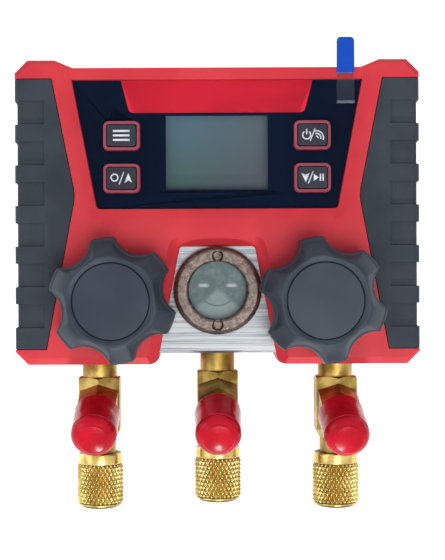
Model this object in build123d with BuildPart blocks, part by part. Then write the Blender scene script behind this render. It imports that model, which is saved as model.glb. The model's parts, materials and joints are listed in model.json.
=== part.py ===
"""Digital two-valve refrigerant manifold, lying on its back.

X runs across the housing, Y towards its top edge, Z out of the display.
The origin is the middle of the flat back face.  All sizes are millimetres.
"""

import os
from math import atan2, cos, degrees, radians, sin, tan

from build123d import *

os.makedirs("parts", exist_ok=True)

# ---------------------------------------------------------------- driving sizes
# housing shells
housing_width = 137.2
housing_length = 103.8
rear_depth = 22.0
front_depth = 18.0
draft_angle = 3.0
shell_wall = 2.5
horn_rise = 2.6
horn_inner_x = 48.2
horn_outer_x = 54.4
corner_cut = 4.3
edge_break = 1.2
foot_bevel_run = 3.3
foot_bevel_drop = 2.0
horn_bevel_run = 2.4
horn_bevel_drop = 2.4
top_strip_drop = 1.2
roof_thickness = 1.5

# soft side grips
grip_thickness = 3.0
grip_lip_thickness = 2.6
grip_top_margin = 7.4
grip_bottom_margin = 6.2
grip_waist_x = 47.6
grip_waist_y = 5.5
grip_waist_radius = 14.0
grip_top_x = 55.4
grip_bottom_x = 57.3
grip_edge_radius = 2.6
grip_gap = 0.25
grip_panel_count = 6
grip_panel_length = 7.9
grip_panel_pitch = 13.6
grip_panel_depth = 0.8
grip_panel_inner_x = 57.8
grip_back_margin = 0.8

# display
lens_top_half = 48.6
lens_bottom_half = 40.3
lens_height = 43.1
lens_margin = 7.6
lens_thickness = 1.2
lens_corner = 1.6
lens_gap = 0.15
pocket_depth = 3.0
dish_side_run = 3.0
dish_foot_run = 3.9
dish_corner = 5.0
mask_thickness = 0.3
badge_top_half = 32.2
badge_bottom_half = 29.4
badge_height = 10.9
badge_corner = 2.0
screen_width = 34.3
screen_height = 25.0
screen_centre_y = 19.9
screen_border = 2.0
screen_thickness = 2.6
backlight_thickness = 3.0
board_thickness = 1.6
board_width = 88.0
board_length = 43.0

# keys
key_width = 9.75
key_height = 7.25
key_corner = 0.9
key_centre_x = 32.0
key_upper_y = 25.7
key_lower_y = 11.4
key_proud = 0.8
key_travel = 0.6
key_play = 0.2
key_flange = 0.9
key_flange_thickness = 1.0
key_surround_wall = 1.05
key_surround_proud = 0.45
switch_size = 5.0
switch_gap = 0.1

# manifold block
block_width = 92.0
block_length = 37.4
block_depth = 26.0
block_back_z = 10.0
block_bottom_margin = 4.5
block_gap = 0.2
block_edge = 0.8
passage_radius = 2.5
cross_passage_z = 14.0
window_top_half = 12.6
window_bottom_half = 19.6
window_length = 35.9
window_bevel = 3.7
window_corner = 1.2
notch_flare = 0.9
notch_corner = 3.2

# sight glass
sight_height_y = 21.1
sight_ring_radius = 14.8
sight_ring_foot_radius = 14.1
sight_ring_foot_height = 1.0
sight_ring_top_radius = 13.4
sight_ring_bore = 9.65
sight_ring_thread_radius = 13.0
sight_ring_thread_length = 4.6
sight_ring_height = 4.6
sight_glass_radius = 11.0
sight_glass_thickness = 5.0
sight_seal_radius = 0.8
sight_cone_top_radius = 9.2
sight_cone_depth = 14.0
sight_glass_recess = 4.1
spanner_notch_radius = 1.8
spanner_notch_depth = 2.3

# valves
valve_spacing = 68.8
valve_height_y = 18.0
valve_lift = 4.5
valve_turns = 3.0
valve_seat_z = 17.0
piston_radius = 6.2
piston_length = 7.0
piston_ring_radius = 0.75
seat_bore = 2.2
running_gap = 0.05
gland_thread_radius = 7.2
gland_thread_length = 7.0
gland_hex_flats = 17.0
gland_hex_height = 6.0
gland_hole_radius = 10.6
stem_radius = 4.0
stem_square = 6.0
stem_square_length = 8.0

# handwheels
wheel_radius = 21.0
wheel_valley_radius = 16.7
wheel_valley_arc = 9.2
wheel_lobe_fillet = 2.0
wheel_lobes = 6
wheel_height = 16.0
wheel_gap = 1.6
wheel_shoulder = 5.5
wheel_crown_radius = 14.6
wheel_base_chamfer = 1.6
wheel_web = 2.2
inlay_radius = 12.3
inlay_rim = 1.4
inlay_thickness = 1.4
inlay_inset = 0.35
left_wheel_phase = 99.0
right_wheel_phase = 101.0

# hose tees
port_spacing = 40.9
centre_port_rise = 2.1
tee_tail_radius = 4.8
tee_tail_length = 10.0
tee_neck_radius = 5.9
tee_neck_length = 8.8
tee_hex_flats = 14.0
tee_hex_length = 18.8
tee_hex_chamfer = 0.9
tee_taper_length = 2.5
tee_bore = 2.5
port_thread_radius = 5.5
branch_offset = 15.7
branch_angle = 22.5
branch_collar_flats = 13.0
branch_collar_reach = 12.6
branch_thread_length = 14.0
tee_rolls = (-0.2, -0.2, 2.6)

# blanking caps and vinyl caps
blank_cap_start = 5.0
blank_cap_length = 19.0
blank_cap_radius = 8.0
blank_cap_band_radius = 7.6
blank_cap_band_length = 3.7
blank_cap_end_chamfer = 1.6
blank_cap_bore_length = 16.6
cap_seal_thickness = 1.2
vinyl_cap_radius = 7.8
vinyl_cap_starts = (0.4, 4.4, 1.2)
vinyl_cap_length = 18.0
vinyl_cap_end_radius = 3.5
vinyl_cap_gap = 0.15

# hanging bail and battery compartment
bail_wire_radius = 2.0
bail_half_width = 40.0
bail_length = 52.0
bail_door_margin = 2.6
bail_screw_margin = 7.0
bail_axis_z = 2.8
bail_bend_radius = 6.0
bail_channel_gap = 0.4
bail_pin_radius = 1.5
bail_pin_length = 2.6
cell_radius = 7.25
cell_length = 50.5
cell_pitch = 15.0
cell_count = 4
cell_axis_z = 10.6
cell_start_y = -6.6
cell_end_wall = 1.0
cell_tip_radius = 2.7
cell_tip_length = 1.2
contact_thickness = 0.5
contact_width = 9.0
door_ledge = 1.0
door_gap = 0.2
door_inset = 0.3

# fasteners and sensors
screw_radius = 1.5
screw_head_radius = 2.8
screw_head_height = 2.2
screw_clearance = 0.1
boss_radius = 3.6
housing_screw_x = 58.5
housing_screw_top_margin = 6.3
housing_screw_bottom_margin = 6.3
housing_screw_reach = 9.0
block_screw_x = 20.0
block_screw_pitch = 20.5
block_screw_bite = 7.0
board_screw_x = 40.5
board_screw_y = (5.5, 42.5)
board_screw_radius = 1.2
board_screw_bite = 4.0
sensor_radius = 5.5
sensor_length = 9.0
sensor_nose_radius = 4.0
sensor_nose_length = 5.0
plug_length = 5.0
plug_shoulder = 0.5

# screen film tab
tab_width = 5.9
tab_inset = 5.5
tab_thickness = 0.4
tab_overhang = 9.1
tab_foot = 8.1
tab_corner = 1.4

# ---------------------------------------------------------------- derived places
half_width = housing_width / 2
half_length = housing_length / 2
front_draft = front_depth * tan(radians(draft_angle))
rear_draft = rear_depth * tan(radians(draft_angle))
top_y = half_length - horn_rise
bottom_y = -half_length
front_z = rear_depth + front_depth
pocket_z = front_z - pocket_depth
lens_z = pocket_z + mask_thickness
lens_front_z = lens_z + lens_thickness
roof_z = pocket_z - roof_thickness
screen_z = roof_z - block_gap - screen_thickness
backlight_z = screen_z - backlight_thickness
board_z = backlight_z - board_thickness
lens_top_y = half_length - lens_margin
core_half = half_width - rear_draft - grip_thickness
cavity_half = core_half - shell_wall
cavity_top_y = top_y - front_draft - shell_wall
cavity_bottom_y = bottom_y + front_draft + shell_wall
grip_top_y = half_length - grip_top_margin
grip_bottom_y = bottom_y + grip_bottom_margin
tab_centre_x = lens_top_half - tab_inset
port_z = rear_depth
block_bottom_y = bottom_y + block_bottom_margin
block_top_y = block_bottom_y + block_length
block_front_z = block_back_z + block_depth
window_floor_z = block_front_z + block_gap
sight_y = block_bottom_y + sight_height_y
valve_y = block_bottom_y + valve_height_y
valve_x = valve_spacing / 2
sides = (("left", -1), ("right", 1))


def write(piece, label):
    """Name a finished piece and write it to its own STEP file."""
    piece.part.label = label
    export_step(piece.part, f"parts/{label}.step")


def mirrored_outline(half_points):
    """Closed face from the right-hand half of an outline, mirrored in X."""
    with BuildSketch() as outline:
        with BuildLine():
            left_points = [(-x, y) for x, y in reversed(half_points) if x > 0]
            Polyline(*half_points, *left_points, close=True)
        make_face()
    return outline.sketch


# ---------------------------------------------------------------- outlines
notch_half = window_bottom_half + notch_flare


def housing_outline(inset):
    """Outline of both shells, pulled in by inset on its outer sides."""
    side_x = half_width - inset
    crown_y = half_length - inset
    foot_y = bottom_y + inset
    with BuildSketch() as outline:
        add(mirrored_outline([
            (0, top_y - inset),
            (horn_inner_x, top_y - inset),
            (horn_outer_x, crown_y),
            (side_x - corner_cut, crown_y),
            (side_x, crown_y - corner_cut),
            (side_x, foot_y + corner_cut),
            (side_x - corner_cut, foot_y),
            (notch_half, foot_y),
            (window_bottom_half, block_bottom_y),
            (0, block_bottom_y),
        ]))
        foot_corners = outline.vertices().group_by(Axis.Y)[0].filter_by_position(
            Axis.X, -notch_half - block_gap, notch_half + block_gap)
        fillet(foot_corners, notch_corner)
    return outline.sketch


def tapering_body(levels):
    """Plain solid through housing outlines, one for each pair of height and inset."""
    with BuildPart() as body:
        for height, inset in levels:
            with BuildSketch(Plane.XY.offset(height)):
                add(housing_outline(inset))
        loft(ruled=True)
    return body.part



cavity_sketch = mirrored_outline([
    (0, cavity_top_y),
    (cavity_half, cavity_top_y),
    (cavity_half, cavity_bottom_y),
    (notch_half + notch_corner + shell_wall, cavity_bottom_y),
    (window_bottom_half + shell_wall, block_bottom_y + shell_wall),
    (0, block_bottom_y + shell_wall),
])


def grip_plan(side, gap):
    """Front outline of a side grip, grown by gap and open past the housing's side."""
    outer_x = half_width + shell_wall
    with BuildSketch() as plan:
        with BuildLine():
            Polyline(
                (outer_x * side, grip_top_y + gap),
                ((grip_top_x - gap) * side, grip_top_y + gap),
                ((grip_waist_x - gap) * side, grip_waist_y),
                ((grip_bottom_x - gap) * side, grip_bottom_y - gap),
                (outer_x * side, grip_bottom_y - gap),
                close=True,
            )
        make_face()
        waist = plan.vertices().filter_by_position(Axis.Y, grip_waist_y - grip_gap * 2, grip_waist_y + grip_gap * 2)
        fillet(waist, grip_waist_radius)
    return plan.sketch


def grip_zone(side, gap):
    """Room of a grip: a lip over the front and a wall down the side, grown by gap."""
    lip_z = front_z - grip_lip_thickness - gap
    wall_middle_y = (grip_top_y + grip_bottom_y) / 2
    wall_length = grip_top_y - grip_bottom_y + 2 * gap
    wall_inner_x = core_half - gap
    wall_width = half_width + shell_wall - wall_inner_x
    with BuildPart() as zone:
        with BuildSketch(Plane.XY.offset(lip_z)):
            add(grip_plan(side, gap))
        extrude(amount=grip_lip_thickness + gap)
        with BuildSketch(Plane.XY.offset(grip_back_margin - gap)):
            with Locations(((wall_inner_x + wall_width / 2) * side, wall_middle_y)):
                Rectangle(wall_width, wall_length)
        extrude(amount=front_z - grip_back_margin + gap)
    return zone.part


def block_envelope(gap):
    """The manifold block's outer box, grown by gap."""
    with BuildPart() as envelope:
        with BuildSketch(Plane.XY.offset(block_back_z - gap)):
            with Locations((0, (block_top_y + block_bottom_y) / 2)):
                Rectangle(block_width + 2 * gap, block_length + 2 * gap)
        extrude(amount=block_depth + 2 * gap)
    return envelope.part


def trapezoid(top_half, bottom_half, top, bottom, corner):
    """Symmetric trapezoid face between two heights, with rounded corners."""
    with BuildSketch() as face:
        with BuildLine():
            Polyline(
                (-top_half, top), (top_half, top), (bottom_half, bottom), (-bottom_half, bottom),
                close=True,
            )
        make_face()
        if corner > 0:
            fillet(face.vertices(), corner)
    return face.sketch


def round_footed(top_half, bottom_half, top, bottom, corner):
    """Trapezoid with sharp upper corners and rounded lower ones."""
    with BuildSketch() as face:
        add(trapezoid(top_half, bottom_half, top, bottom, 0))
        fillet(face.vertices().group_by(Axis.Y)[0], corner)
    return face.sketch


lens_bottom_y = lens_top_y - lens_height
lens_slope = (lens_top_half - lens_bottom_half) / lens_height
dish_end_y = half_length + shell_wall
dish_rise = lens_slope * (dish_end_y - lens_top_y)
dish_z = front_z - top_strip_drop
badge_bottom_y = lens_top_y - badge_height
window_top_y = block_bottom_y + window_length
key_places = [
    (x * key_centre_x, y) for y in (key_upper_y, key_lower_y) for x in (-1, 1)
]
surround_width = key_width + 2 * (key_play + key_surround_wall)
surround_height = key_height + 2 * (key_play + key_surround_wall)
surround_corner = key_corner + key_surround_wall
housing_screw_places = [
    (x * housing_screw_x, y)
    for y in (half_length - housing_screw_top_margin, bottom_y + housing_screw_bottom_margin)
    for x in (-1, 1)
]
board_screw_places = [(x * board_screw_x, y) for y in board_screw_y for x in (-1, 1)]
compartment_start_y = cell_start_y - contact_thickness - door_gap
door_bottom_y = compartment_start_y - door_ledge
bail_cross_y = door_bottom_y - door_gap - bail_door_margin - bail_wire_radius
bail_pivot_y = bail_cross_y + bail_length
block_screw_y = (bail_cross_y - bail_screw_margin, bail_cross_y - bail_screw_margin - block_screw_pitch)
block_screw_places = [(x * block_screw_x, y) for y in block_screw_y for x in (-1, 1)]
port_places = (-port_spacing, 0.0, port_spacing)
neck_hole_radius = tee_neck_radius + block_gap

# ---------------------------------------------------------------- front housing
with BuildPart() as front_housing:
    add(tapering_body([
        (rear_depth, 0), (front_z - edge_break, front_draft), (front_z, front_draft + edge_break),
    ]))
    with BuildSketch(Plane.XY.offset(rear_depth)):
        add(cavity_sketch)
    extrude(amount=roof_z - rear_depth, mode=Mode.SUBTRACT)

    # columns for the housing screws and the board screws
    with BuildSketch(Plane.XY.offset(rear_depth)):
        with Locations(*housing_screw_places):
            Circle(boss_radius)
    extrude(amount=roof_z - rear_depth)
    with BuildSketch(Plane.XY.offset(rear_depth)):
        with Locations(*housing_screw_places):
            Circle(screw_radius + screw_clearance)
    extrude(amount=housing_screw_reach + shell_wall, mode=Mode.SUBTRACT)
    with BuildSketch(Plane.XY.offset(board_z + board_thickness)):
        with Locations(*board_screw_places):
            Circle(board_screw_radius + shell_wall / 2)
    extrude(amount=roof_z - board_z - board_thickness)
    with BuildSketch(Plane.XY.offset(board_z)):
        with Locations(*board_screw_places):
            Circle(board_screw_radius + screw_clearance)
    extrude(amount=board_thickness + board_screw_bite, mode=Mode.SUBTRACT)

    # room for the block and the window over its sight glass
    add(block_envelope(block_gap), mode=Mode.SUBTRACT)
    with BuildSketch(Plane.XY.offset(roof_z)):
        add(trapezoid(
            window_top_half, window_bottom_half, window_top_y, block_bottom_y - block_gap, window_corner))
    extrude(amount=front_depth, mode=Mode.SUBTRACT)
    bevel_angle = degrees(atan2(window_bevel, front_z - window_floor_z))
    flare = window_bottom_half - window_top_half
    window_slope = flare / window_length
    with BuildSketch(Plane.XY.offset(window_floor_z)):
        add(trapezoid(
            window_top_half,
            window_bottom_half + window_slope * (window_bevel + block_bottom_margin),
            window_top_y,
            bottom_y - window_bevel,
            window_corner,
        ))
    extrude(amount=front_z - window_floor_z, taper=-bevel_angle, mode=Mode.SUBTRACT)

    # dish round the display, open towards the top edge, and the lens pocket in its floor
    with BuildSketch(Plane.XY.offset(dish_z)):
        add(round_footed(
            lens_top_half + dish_rise, lens_bottom_half + lens_gap, dish_end_y, lens_bottom_y - lens_gap,
            lens_corner))
    with BuildSketch(Plane.XY.offset(front_z)):
        add(round_footed(
            lens_top_half + dish_rise + dish_side_run, lens_bottom_half + dish_side_run, dish_end_y,
            lens_bottom_y - dish_foot_run, dish_corner))
    loft(ruled=True, mode=Mode.SUBTRACT)
    with BuildSketch(Plane.XY.offset(pocket_z)):
        add(round_footed(
            lens_top_half + lens_gap, lens_bottom_half + lens_gap, lens_top_y + lens_gap,
            lens_bottom_y - lens_gap, lens_corner))
    extrude(amount=pocket_depth, mode=Mode.SUBTRACT)

    # openings through the pocket floor for the screen and the keys
    with BuildSketch(Plane.XY.offset(roof_z)):
        with Locations((0, screen_centre_y)):
            Rectangle(screen_width + 4 * lens_gap, screen_height + 4 * lens_gap)
        with Locations(*key_places):
            RectangleRounded(key_width + 2 * key_play, key_height + 2 * key_play, key_corner)
    extrude(amount=pocket_depth, mode=Mode.SUBTRACT)

    # holes for the glands and the side necks, bevels of the foot and the horns
    with BuildSketch(Plane.XY.offset(roof_z)):
        with Locations((-valve_x, valve_y), (valve_x, valve_y)):
            Circle(gland_hole_radius)
    extrude(amount=front_depth, mode=Mode.SUBTRACT)
    with BuildSketch(Plane.XZ.offset(-bottom_y - 2 * block_bottom_margin)):
        with Locations((-port_spacing, port_z), (port_spacing, port_z)):
            Circle(neck_hole_radius)
    extrude(amount=3 * block_bottom_margin, mode=Mode.SUBTRACT)
    with BuildSketch(Plane.YZ.offset(-half_width)):
        with BuildLine():
            Polyline(
                (bottom_y, front_z - foot_bevel_drop), (bottom_y + foot_bevel_run, front_z), (bottom_y, front_z),
                close=True,
            )
        make_face()
        with BuildLine():
            Polyline(
                (half_length, front_z - horn_bevel_drop), (half_length - horn_bevel_run, front_z),
                (half_length, front_z),
                close=True,
            )
        make_face()
    extrude(amount=housing_width, mode=Mode.SUBTRACT)
    for side_name, side in sides:
        add(grip_zone(side, grip_gap), mode=Mode.SUBTRACT)
write(front_housing, "front_housing")

# ---------------------------------------------------------------- bail and battery door places
channel_depth = bail_axis_z + bail_wire_radius + bail_channel_gap
channel_half = bail_wire_radius + bail_channel_gap
compartment_half = (cell_count - 1) / 2 * cell_pitch + cell_radius + door_gap
compartment_end_y = cell_start_y + cell_length + cell_tip_length + contact_thickness
compartment_mid_y = (compartment_start_y + compartment_end_y) / 2
compartment_length = compartment_end_y - compartment_start_y
compartment_wall = cell_end_wall + door_ledge + door_gap
compartment_top_z = cell_axis_z + cell_radius + compartment_wall
door_width = 2 * (compartment_half + door_ledge)
door_length = compartment_length + 2 * door_ledge
door_thickness = shell_wall - door_inset


def bail_loop(half, margin, z, height):
    """U-shaped channel region that follows the stowed bail out to the top edge."""
    reach_y = half_length + margin
    with BuildPart() as loop:
        with BuildSketch(Plane.XY.offset(z)):
            with Locations((0, (reach_y + bail_cross_y - margin) / 2)):
                RectangleRounded(2 * (half + margin), reach_y - bail_cross_y + margin, bail_bend_radius)
            with Locations((0, (reach_y + bail_cross_y + margin) / 2)):
                RectangleRounded(
                    2 * (half - margin), reach_y - bail_cross_y - margin, bail_bend_radius - channel_half,
                    mode=Mode.SUBTRACT,
                )
        extrude(amount=height)
    return loop.part


# ---------------------------------------------------------------- rear housing
with BuildPart() as rear_housing:
    add(tapering_body([(0, rear_draft + edge_break), (edge_break, rear_draft), (rear_depth, 0)]))
    with BuildSketch(Plane.XY.offset(shell_wall)):
        add(cavity_sketch)
    extrude(amount=rear_depth, mode=Mode.SUBTRACT)

    # battery box standing on the back wall
    with BuildSketch(Plane.XY.offset(shell_wall)):
        with Locations((0, compartment_mid_y)):
            Rectangle(2 * (compartment_half + compartment_wall), compartment_length + 2 * compartment_wall)
            Rectangle(2 * compartment_half, compartment_length, mode=Mode.SUBTRACT)
    extrude(amount=compartment_top_z - shell_wall)
    with BuildSketch():
        with Locations((0, compartment_mid_y)):
            Rectangle(door_width + 2 * door_gap, door_length + 2 * door_gap)
    extrude(amount=shell_wall, mode=Mode.SUBTRACT)

    # channel for the stowed bail, sunk into the back wall
    channel_roof = bail_loop(bail_half_width, channel_half + shell_wall, shell_wall, channel_depth)
    with BuildSketch() as keep_in:
        add(housing_outline(0))
    inside = extrude(keep_in.sketch, amount=rear_depth, mode=Mode.PRIVATE)
    add(channel_roof & inside)
    add(bail_loop(bail_half_width, channel_half, 0, channel_depth), mode=Mode.SUBTRACT)
    for side_name, side in sides:
        with BuildSketch(Plane.YZ.offset(side * (bail_half_width + channel_half))):
            with Locations((bail_pivot_y, bail_axis_z)):
                Circle(bail_pin_radius + running_gap)
        extrude(amount=side * bail_pin_length, mode=Mode.SUBTRACT)

    # pillars under the block and columns for the housing screws
    with BuildSketch(Plane.XY.offset(shell_wall)):
        with Locations(*block_screw_places):
            Circle(boss_radius)
    extrude(amount=block_back_z - shell_wall)
    with BuildSketch():
        with Locations(*block_screw_places):
            Circle(screw_radius + screw_clearance)
    extrude(amount=block_back_z, mode=Mode.SUBTRACT)
    with BuildSketch():
        with Locations(*block_screw_places):
            Circle(screw_head_radius + screw_clearance)
    extrude(amount=door_inset + screw_head_height, mode=Mode.SUBTRACT)
    with BuildSketch(Plane.XY.offset(shell_wall)):
        with Locations(*housing_screw_places):
            Circle(boss_radius)
    extrude(amount=rear_depth - shell_wall)
    with BuildSketch():
        with Locations(*housing_screw_places):
            Circle(screw_radius + screw_clearance)
    extrude(amount=rear_depth, mode=Mode.SUBTRACT)
    with BuildSketch():
        with Locations(*housing_screw_places):
            Circle(screw_head_radius + screw_clearance)
    extrude(amount=rear_depth - housing_screw_reach, mode=Mode.SUBTRACT)

    add(block_envelope(block_gap), mode=Mode.SUBTRACT)
    with BuildSketch(Plane.XZ.offset(-bottom_y - 2 * block_bottom_margin)):
        with Locations((-port_spacing, port_z), (port_spacing, port_z)):
            Circle(neck_hole_radius)
    extrude(amount=3 * block_bottom_margin, mode=Mode.SUBTRACT)
    for side_name, side in sides:
        add(grip_zone(side, grip_gap), mode=Mode.SUBTRACT)
write(rear_housing, "rear_housing")

# ---------------------------------------------------------------- side grips
panel_middle_y = (grip_top_y + grip_bottom_y) / 2
panel_first_y = panel_middle_y - (grip_panel_count - 1) / 2 * grip_panel_pitch
for side_name, side in sides:
    with BuildPart() as grip:
        add(tapering_body([(0, rear_draft), (rear_depth, 0), (front_z, front_draft)]))
        add(grip_zone(side, 0), mode=Mode.INTERSECT)
        front_edges = grip.edges().filter_by(Axis.Y).group_by(Axis.Z)[-1].sort_by(Axis.X)
        fillet(front_edges[-1 if side > 0 else 0], grip_edge_radius)
        with BuildSketch(Plane.XZ.offset(-panel_first_y - grip_panel_length / 2)) as panel_cut:
            with Locations((side * half_width, front_z)):
                Rectangle(2 * (half_width - grip_panel_inner_x), 2 * front_z)
            with BuildLine():
                FilletPolyline(
                    (0, grip_back_margin),
                    (side * (half_width - rear_draft - grip_panel_depth), grip_back_margin),
                    (side * (half_width - grip_panel_depth), rear_depth),
                    (side * (half_width - front_draft - grip_panel_depth), front_z - grip_panel_depth),
                    (0, front_z - grip_panel_depth),
                    radius=grip_edge_radius - grip_panel_depth, close=True,
                )
            make_face(mode=Mode.SUBTRACT)
        for row in range(grip_panel_count):
            row_plane = Plane.XZ.offset(-panel_first_y - grip_panel_length / 2 - row * grip_panel_pitch)
            with BuildSketch(row_plane):
                add(panel_cut.sketch_local)
            extrude(amount=grip_panel_length, mode=Mode.SUBTRACT)
    write(grip, f"{side_name}_grip")


def turn(points, plane, mode=Mode.ADD):
    """Revolve a closed outline of (radius, height) points about a plane's normal."""
    section_plane = Plane(origin=plane.origin, x_dir=plane.x_dir, z_dir=-plane.y_dir)
    with BuildSketch(section_plane) as section:
        with BuildLine():
            Polyline(*points, close=True)
        make_face()
    revolve(section.sketch, axis=Axis(plane.origin, plane.z_dir), mode=mode)


def rod(radius, start, end, plane, mode=Mode.ADD):
    """Cylinder along a plane's normal between two heights above it."""
    with BuildSketch(plane.offset(start)) as disc:
        Circle(radius)
    extrude(disc.sketch, amount=end - start, mode=mode)


# ---------------------------------------------------------------- display stack
with BuildPart() as display_mask:
    with BuildSketch(Plane.XY.offset(pocket_z)):
        add(round_footed(lens_top_half, lens_bottom_half, lens_top_y, lens_bottom_y, lens_corner))
        add(
            round_footed(badge_top_half, badge_bottom_half, lens_top_y, badge_bottom_y, badge_corner),
            mode=Mode.SUBTRACT,
        )
        with Locations((0, screen_centre_y)):
            Rectangle(screen_width, screen_height, mode=Mode.SUBTRACT)
        with Locations(*key_places):
            RectangleRounded(
                surround_width + 2 * lens_gap, surround_height + 2 * lens_gap, surround_corner,
                mode=Mode.SUBTRACT,
            )
    extrude(amount=mask_thickness)
write(display_mask, "display_mask")

with BuildPart() as badge_panel:
    with BuildSketch(Plane.XY.offset(pocket_z)):
        add(round_footed(
            badge_top_half - running_gap, badge_bottom_half - running_gap, lens_top_y,
            badge_bottom_y + running_gap, badge_corner))
    extrude(amount=mask_thickness)
write(badge_panel, "badge_panel")

with BuildPart() as display_lens:
    with BuildSketch(Plane.XY.offset(lens_z)):
        add(round_footed(lens_top_half, lens_bottom_half, lens_top_y, lens_bottom_y, lens_corner))
        with Locations(*key_places):
            RectangleRounded(
                surround_width + 2 * lens_gap, surround_height + 2 * lens_gap, surround_corner,
                mode=Mode.SUBTRACT,
            )
    extrude(amount=lens_thickness)
write(display_lens, "display_lens")

with BuildPart() as screen_panel:
    with BuildSketch(Plane.XY.offset(screen_z)):
        with Locations((0, screen_centre_y)):
            Rectangle(screen_width + 2 * screen_border, screen_height + 2 * screen_border)
    extrude(amount=screen_thickness)
write(screen_panel, "screen_panel")

with BuildPart() as screen_backlight:
    with BuildSketch(Plane.XY.offset(backlight_z)):
        with Locations((0, screen_centre_y)):
            Rectangle(screen_width + 2 * screen_border, screen_height + 2 * screen_border)
    extrude(amount=backlight_thickness)
write(screen_backlight, "screen_backlight")

with BuildPart() as circuit_board:
    with BuildSketch(Plane.XY.offset(board_z)):
        with Locations((0, sum(board_screw_y) / 2)):
            Rectangle(board_width, board_length)
        with Locations(*board_screw_places):
            Circle(board_screw_radius + screw_clearance, mode=Mode.SUBTRACT)
    extrude(amount=board_thickness)
write(circuit_board, "circuit_board")

# ---------------------------------------------------------------- keys
key_top_z = lens_front_z + key_proud
key_flange_z = roof_z - running_gap - key_flange_thickness
key_names = ("menu_key", "zero_key", "power_key", "hold_key")
key_positions = (
    (-key_centre_x, key_upper_y), (-key_centre_x, key_lower_y),
    (key_centre_x, key_upper_y), (key_centre_x, key_lower_y),
)
for key_name, key_place in zip(key_names, key_positions):
    with BuildPart() as key:
        with BuildSketch(Plane.XY.offset(key_flange_z)):
            with Locations(key_place):
                Rectangle(key_width + 2 * key_flange, key_height + 2 * key_flange)
        extrude(amount=key_flange_thickness)
        with BuildSketch(Plane.XY.offset(key_flange_z)):
            with Locations(key_place):
                RectangleRounded(key_width, key_height, key_corner)
        extrude(amount=key_top_z - key_flange_z)
        fillet(key.faces().sort_by(Axis.Z)[-1].edges(), key_play)
    write(key, key_name)

with BuildPart() as key_surrounds:
    with BuildSketch(Plane.XY.offset(pocket_z)):
        with Locations(*key_positions):
            RectangleRounded(surround_width, surround_height, surround_corner)
            RectangleRounded(
                key_width + 2 * key_play, key_height + 2 * key_play, key_corner, mode=Mode.SUBTRACT)
    extrude(amount=lens_front_z + key_surround_proud - pocket_z)
write(key_surrounds, "key_surrounds")

with BuildPart() as key_switches:
    with BuildSketch(Plane.XY.offset(backlight_z)):
        with Locations(*key_positions):
            Rectangle(switch_size, switch_size)
    extrude(amount=key_flange_z - key_travel - switch_gap - backlight_z)
write(key_switches, "key_switches")

# ---------------------------------------------------------------- manifold block
sight_plane = Plane(origin=(0, sight_y, 0))
ring_top_z = block_front_z + sight_ring_height
glass_top_z = ring_top_z - sight_glass_recess
glass_bottom_z = glass_top_z - sight_glass_thickness
seal_floor_z = glass_bottom_z - 2 * sight_seal_radius
cone_floor_z = seal_floor_z - sight_cone_depth
gland_floor_z = block_front_z - gland_thread_length
tail_hole_radius = tee_tail_radius + running_gap
plug_radius = passage_radius + plug_shoulder

with BuildPart() as manifold_block:
    add(block_envelope(0))
    chamfer(manifold_block.edges().group_by(Axis.Z)[-1], block_edge)
    turn([
        (0, cross_passage_z),
        (passage_radius, cross_passage_z),
        (passage_radius, cone_floor_z),
        (sight_cone_top_radius, seal_floor_z),
        (sight_glass_radius + screw_clearance, seal_floor_z),
        (sight_glass_radius + screw_clearance, block_front_z - sight_ring_thread_length - screw_clearance),
        (sight_ring_thread_radius + running_gap, block_front_z - sight_ring_thread_length - screw_clearance),
        (sight_ring_thread_radius + running_gap, block_front_z),
        (0, block_front_z),
    ], sight_plane, Mode.SUBTRACT)
    for side_name, side in sides:
        valve_plane = Plane(origin=(side * valve_x, valve_y, 0))
        rod(seat_bore, cross_passage_z, valve_seat_z, valve_plane, Mode.SUBTRACT)
        rod(piston_radius + running_gap, valve_seat_z, block_front_z, valve_plane, Mode.SUBTRACT)
        rod(gland_thread_radius + running_gap, gland_floor_z, block_front_z, valve_plane, Mode.SUBTRACT)
        end_plane = Plane(origin=(0, valve_y, cross_passage_z), x_dir=(0, 0, 1), z_dir=(side, 0, 0))
        rod(passage_radius, 0, block_width / 2, end_plane, Mode.SUBTRACT)
        rod(plug_radius + running_gap, block_width / 2 - plug_length, block_width / 2, end_plane,
            Mode.SUBTRACT)
    for port_x, port_rise in zip(port_places, (0.0, centre_port_rise, 0.0)):
        bore_plane = Plane(origin=(port_x, block_bottom_y, port_z), x_dir=(1, 0, 0), z_dir=(0, 1, 0))
        rod(tail_hole_radius, 0, tee_tail_length + port_rise, bore_plane, Mode.SUBTRACT)
        passage_end = block_length if port_x else sight_y - block_bottom_y
        rod(passage_radius, 0, passage_end, bore_plane, Mode.SUBTRACT)
        if port_x:
            rod(sensor_nose_radius + running_gap, block_length - sensor_nose_length, block_length,
                bore_plane, Mode.SUBTRACT)
    for screw_place in block_screw_places:
        rod(screw_radius + screw_clearance, block_back_z, block_back_z + block_screw_bite + shell_wall,
            Plane(origin=(*screw_place, 0)), Mode.SUBTRACT)
write(manifold_block, "manifold_block")

with BuildPart() as passage_plugs:
    for side_name, side in sides:
        end_plane = Plane(origin=(0, valve_y, cross_passage_z), x_dir=(0, 0, 1), z_dir=(side, 0, 0))
        rod(plug_radius, block_width / 2 - plug_length, block_width / 2, end_plane)
write(passage_plugs, "passage_plugs")

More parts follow.
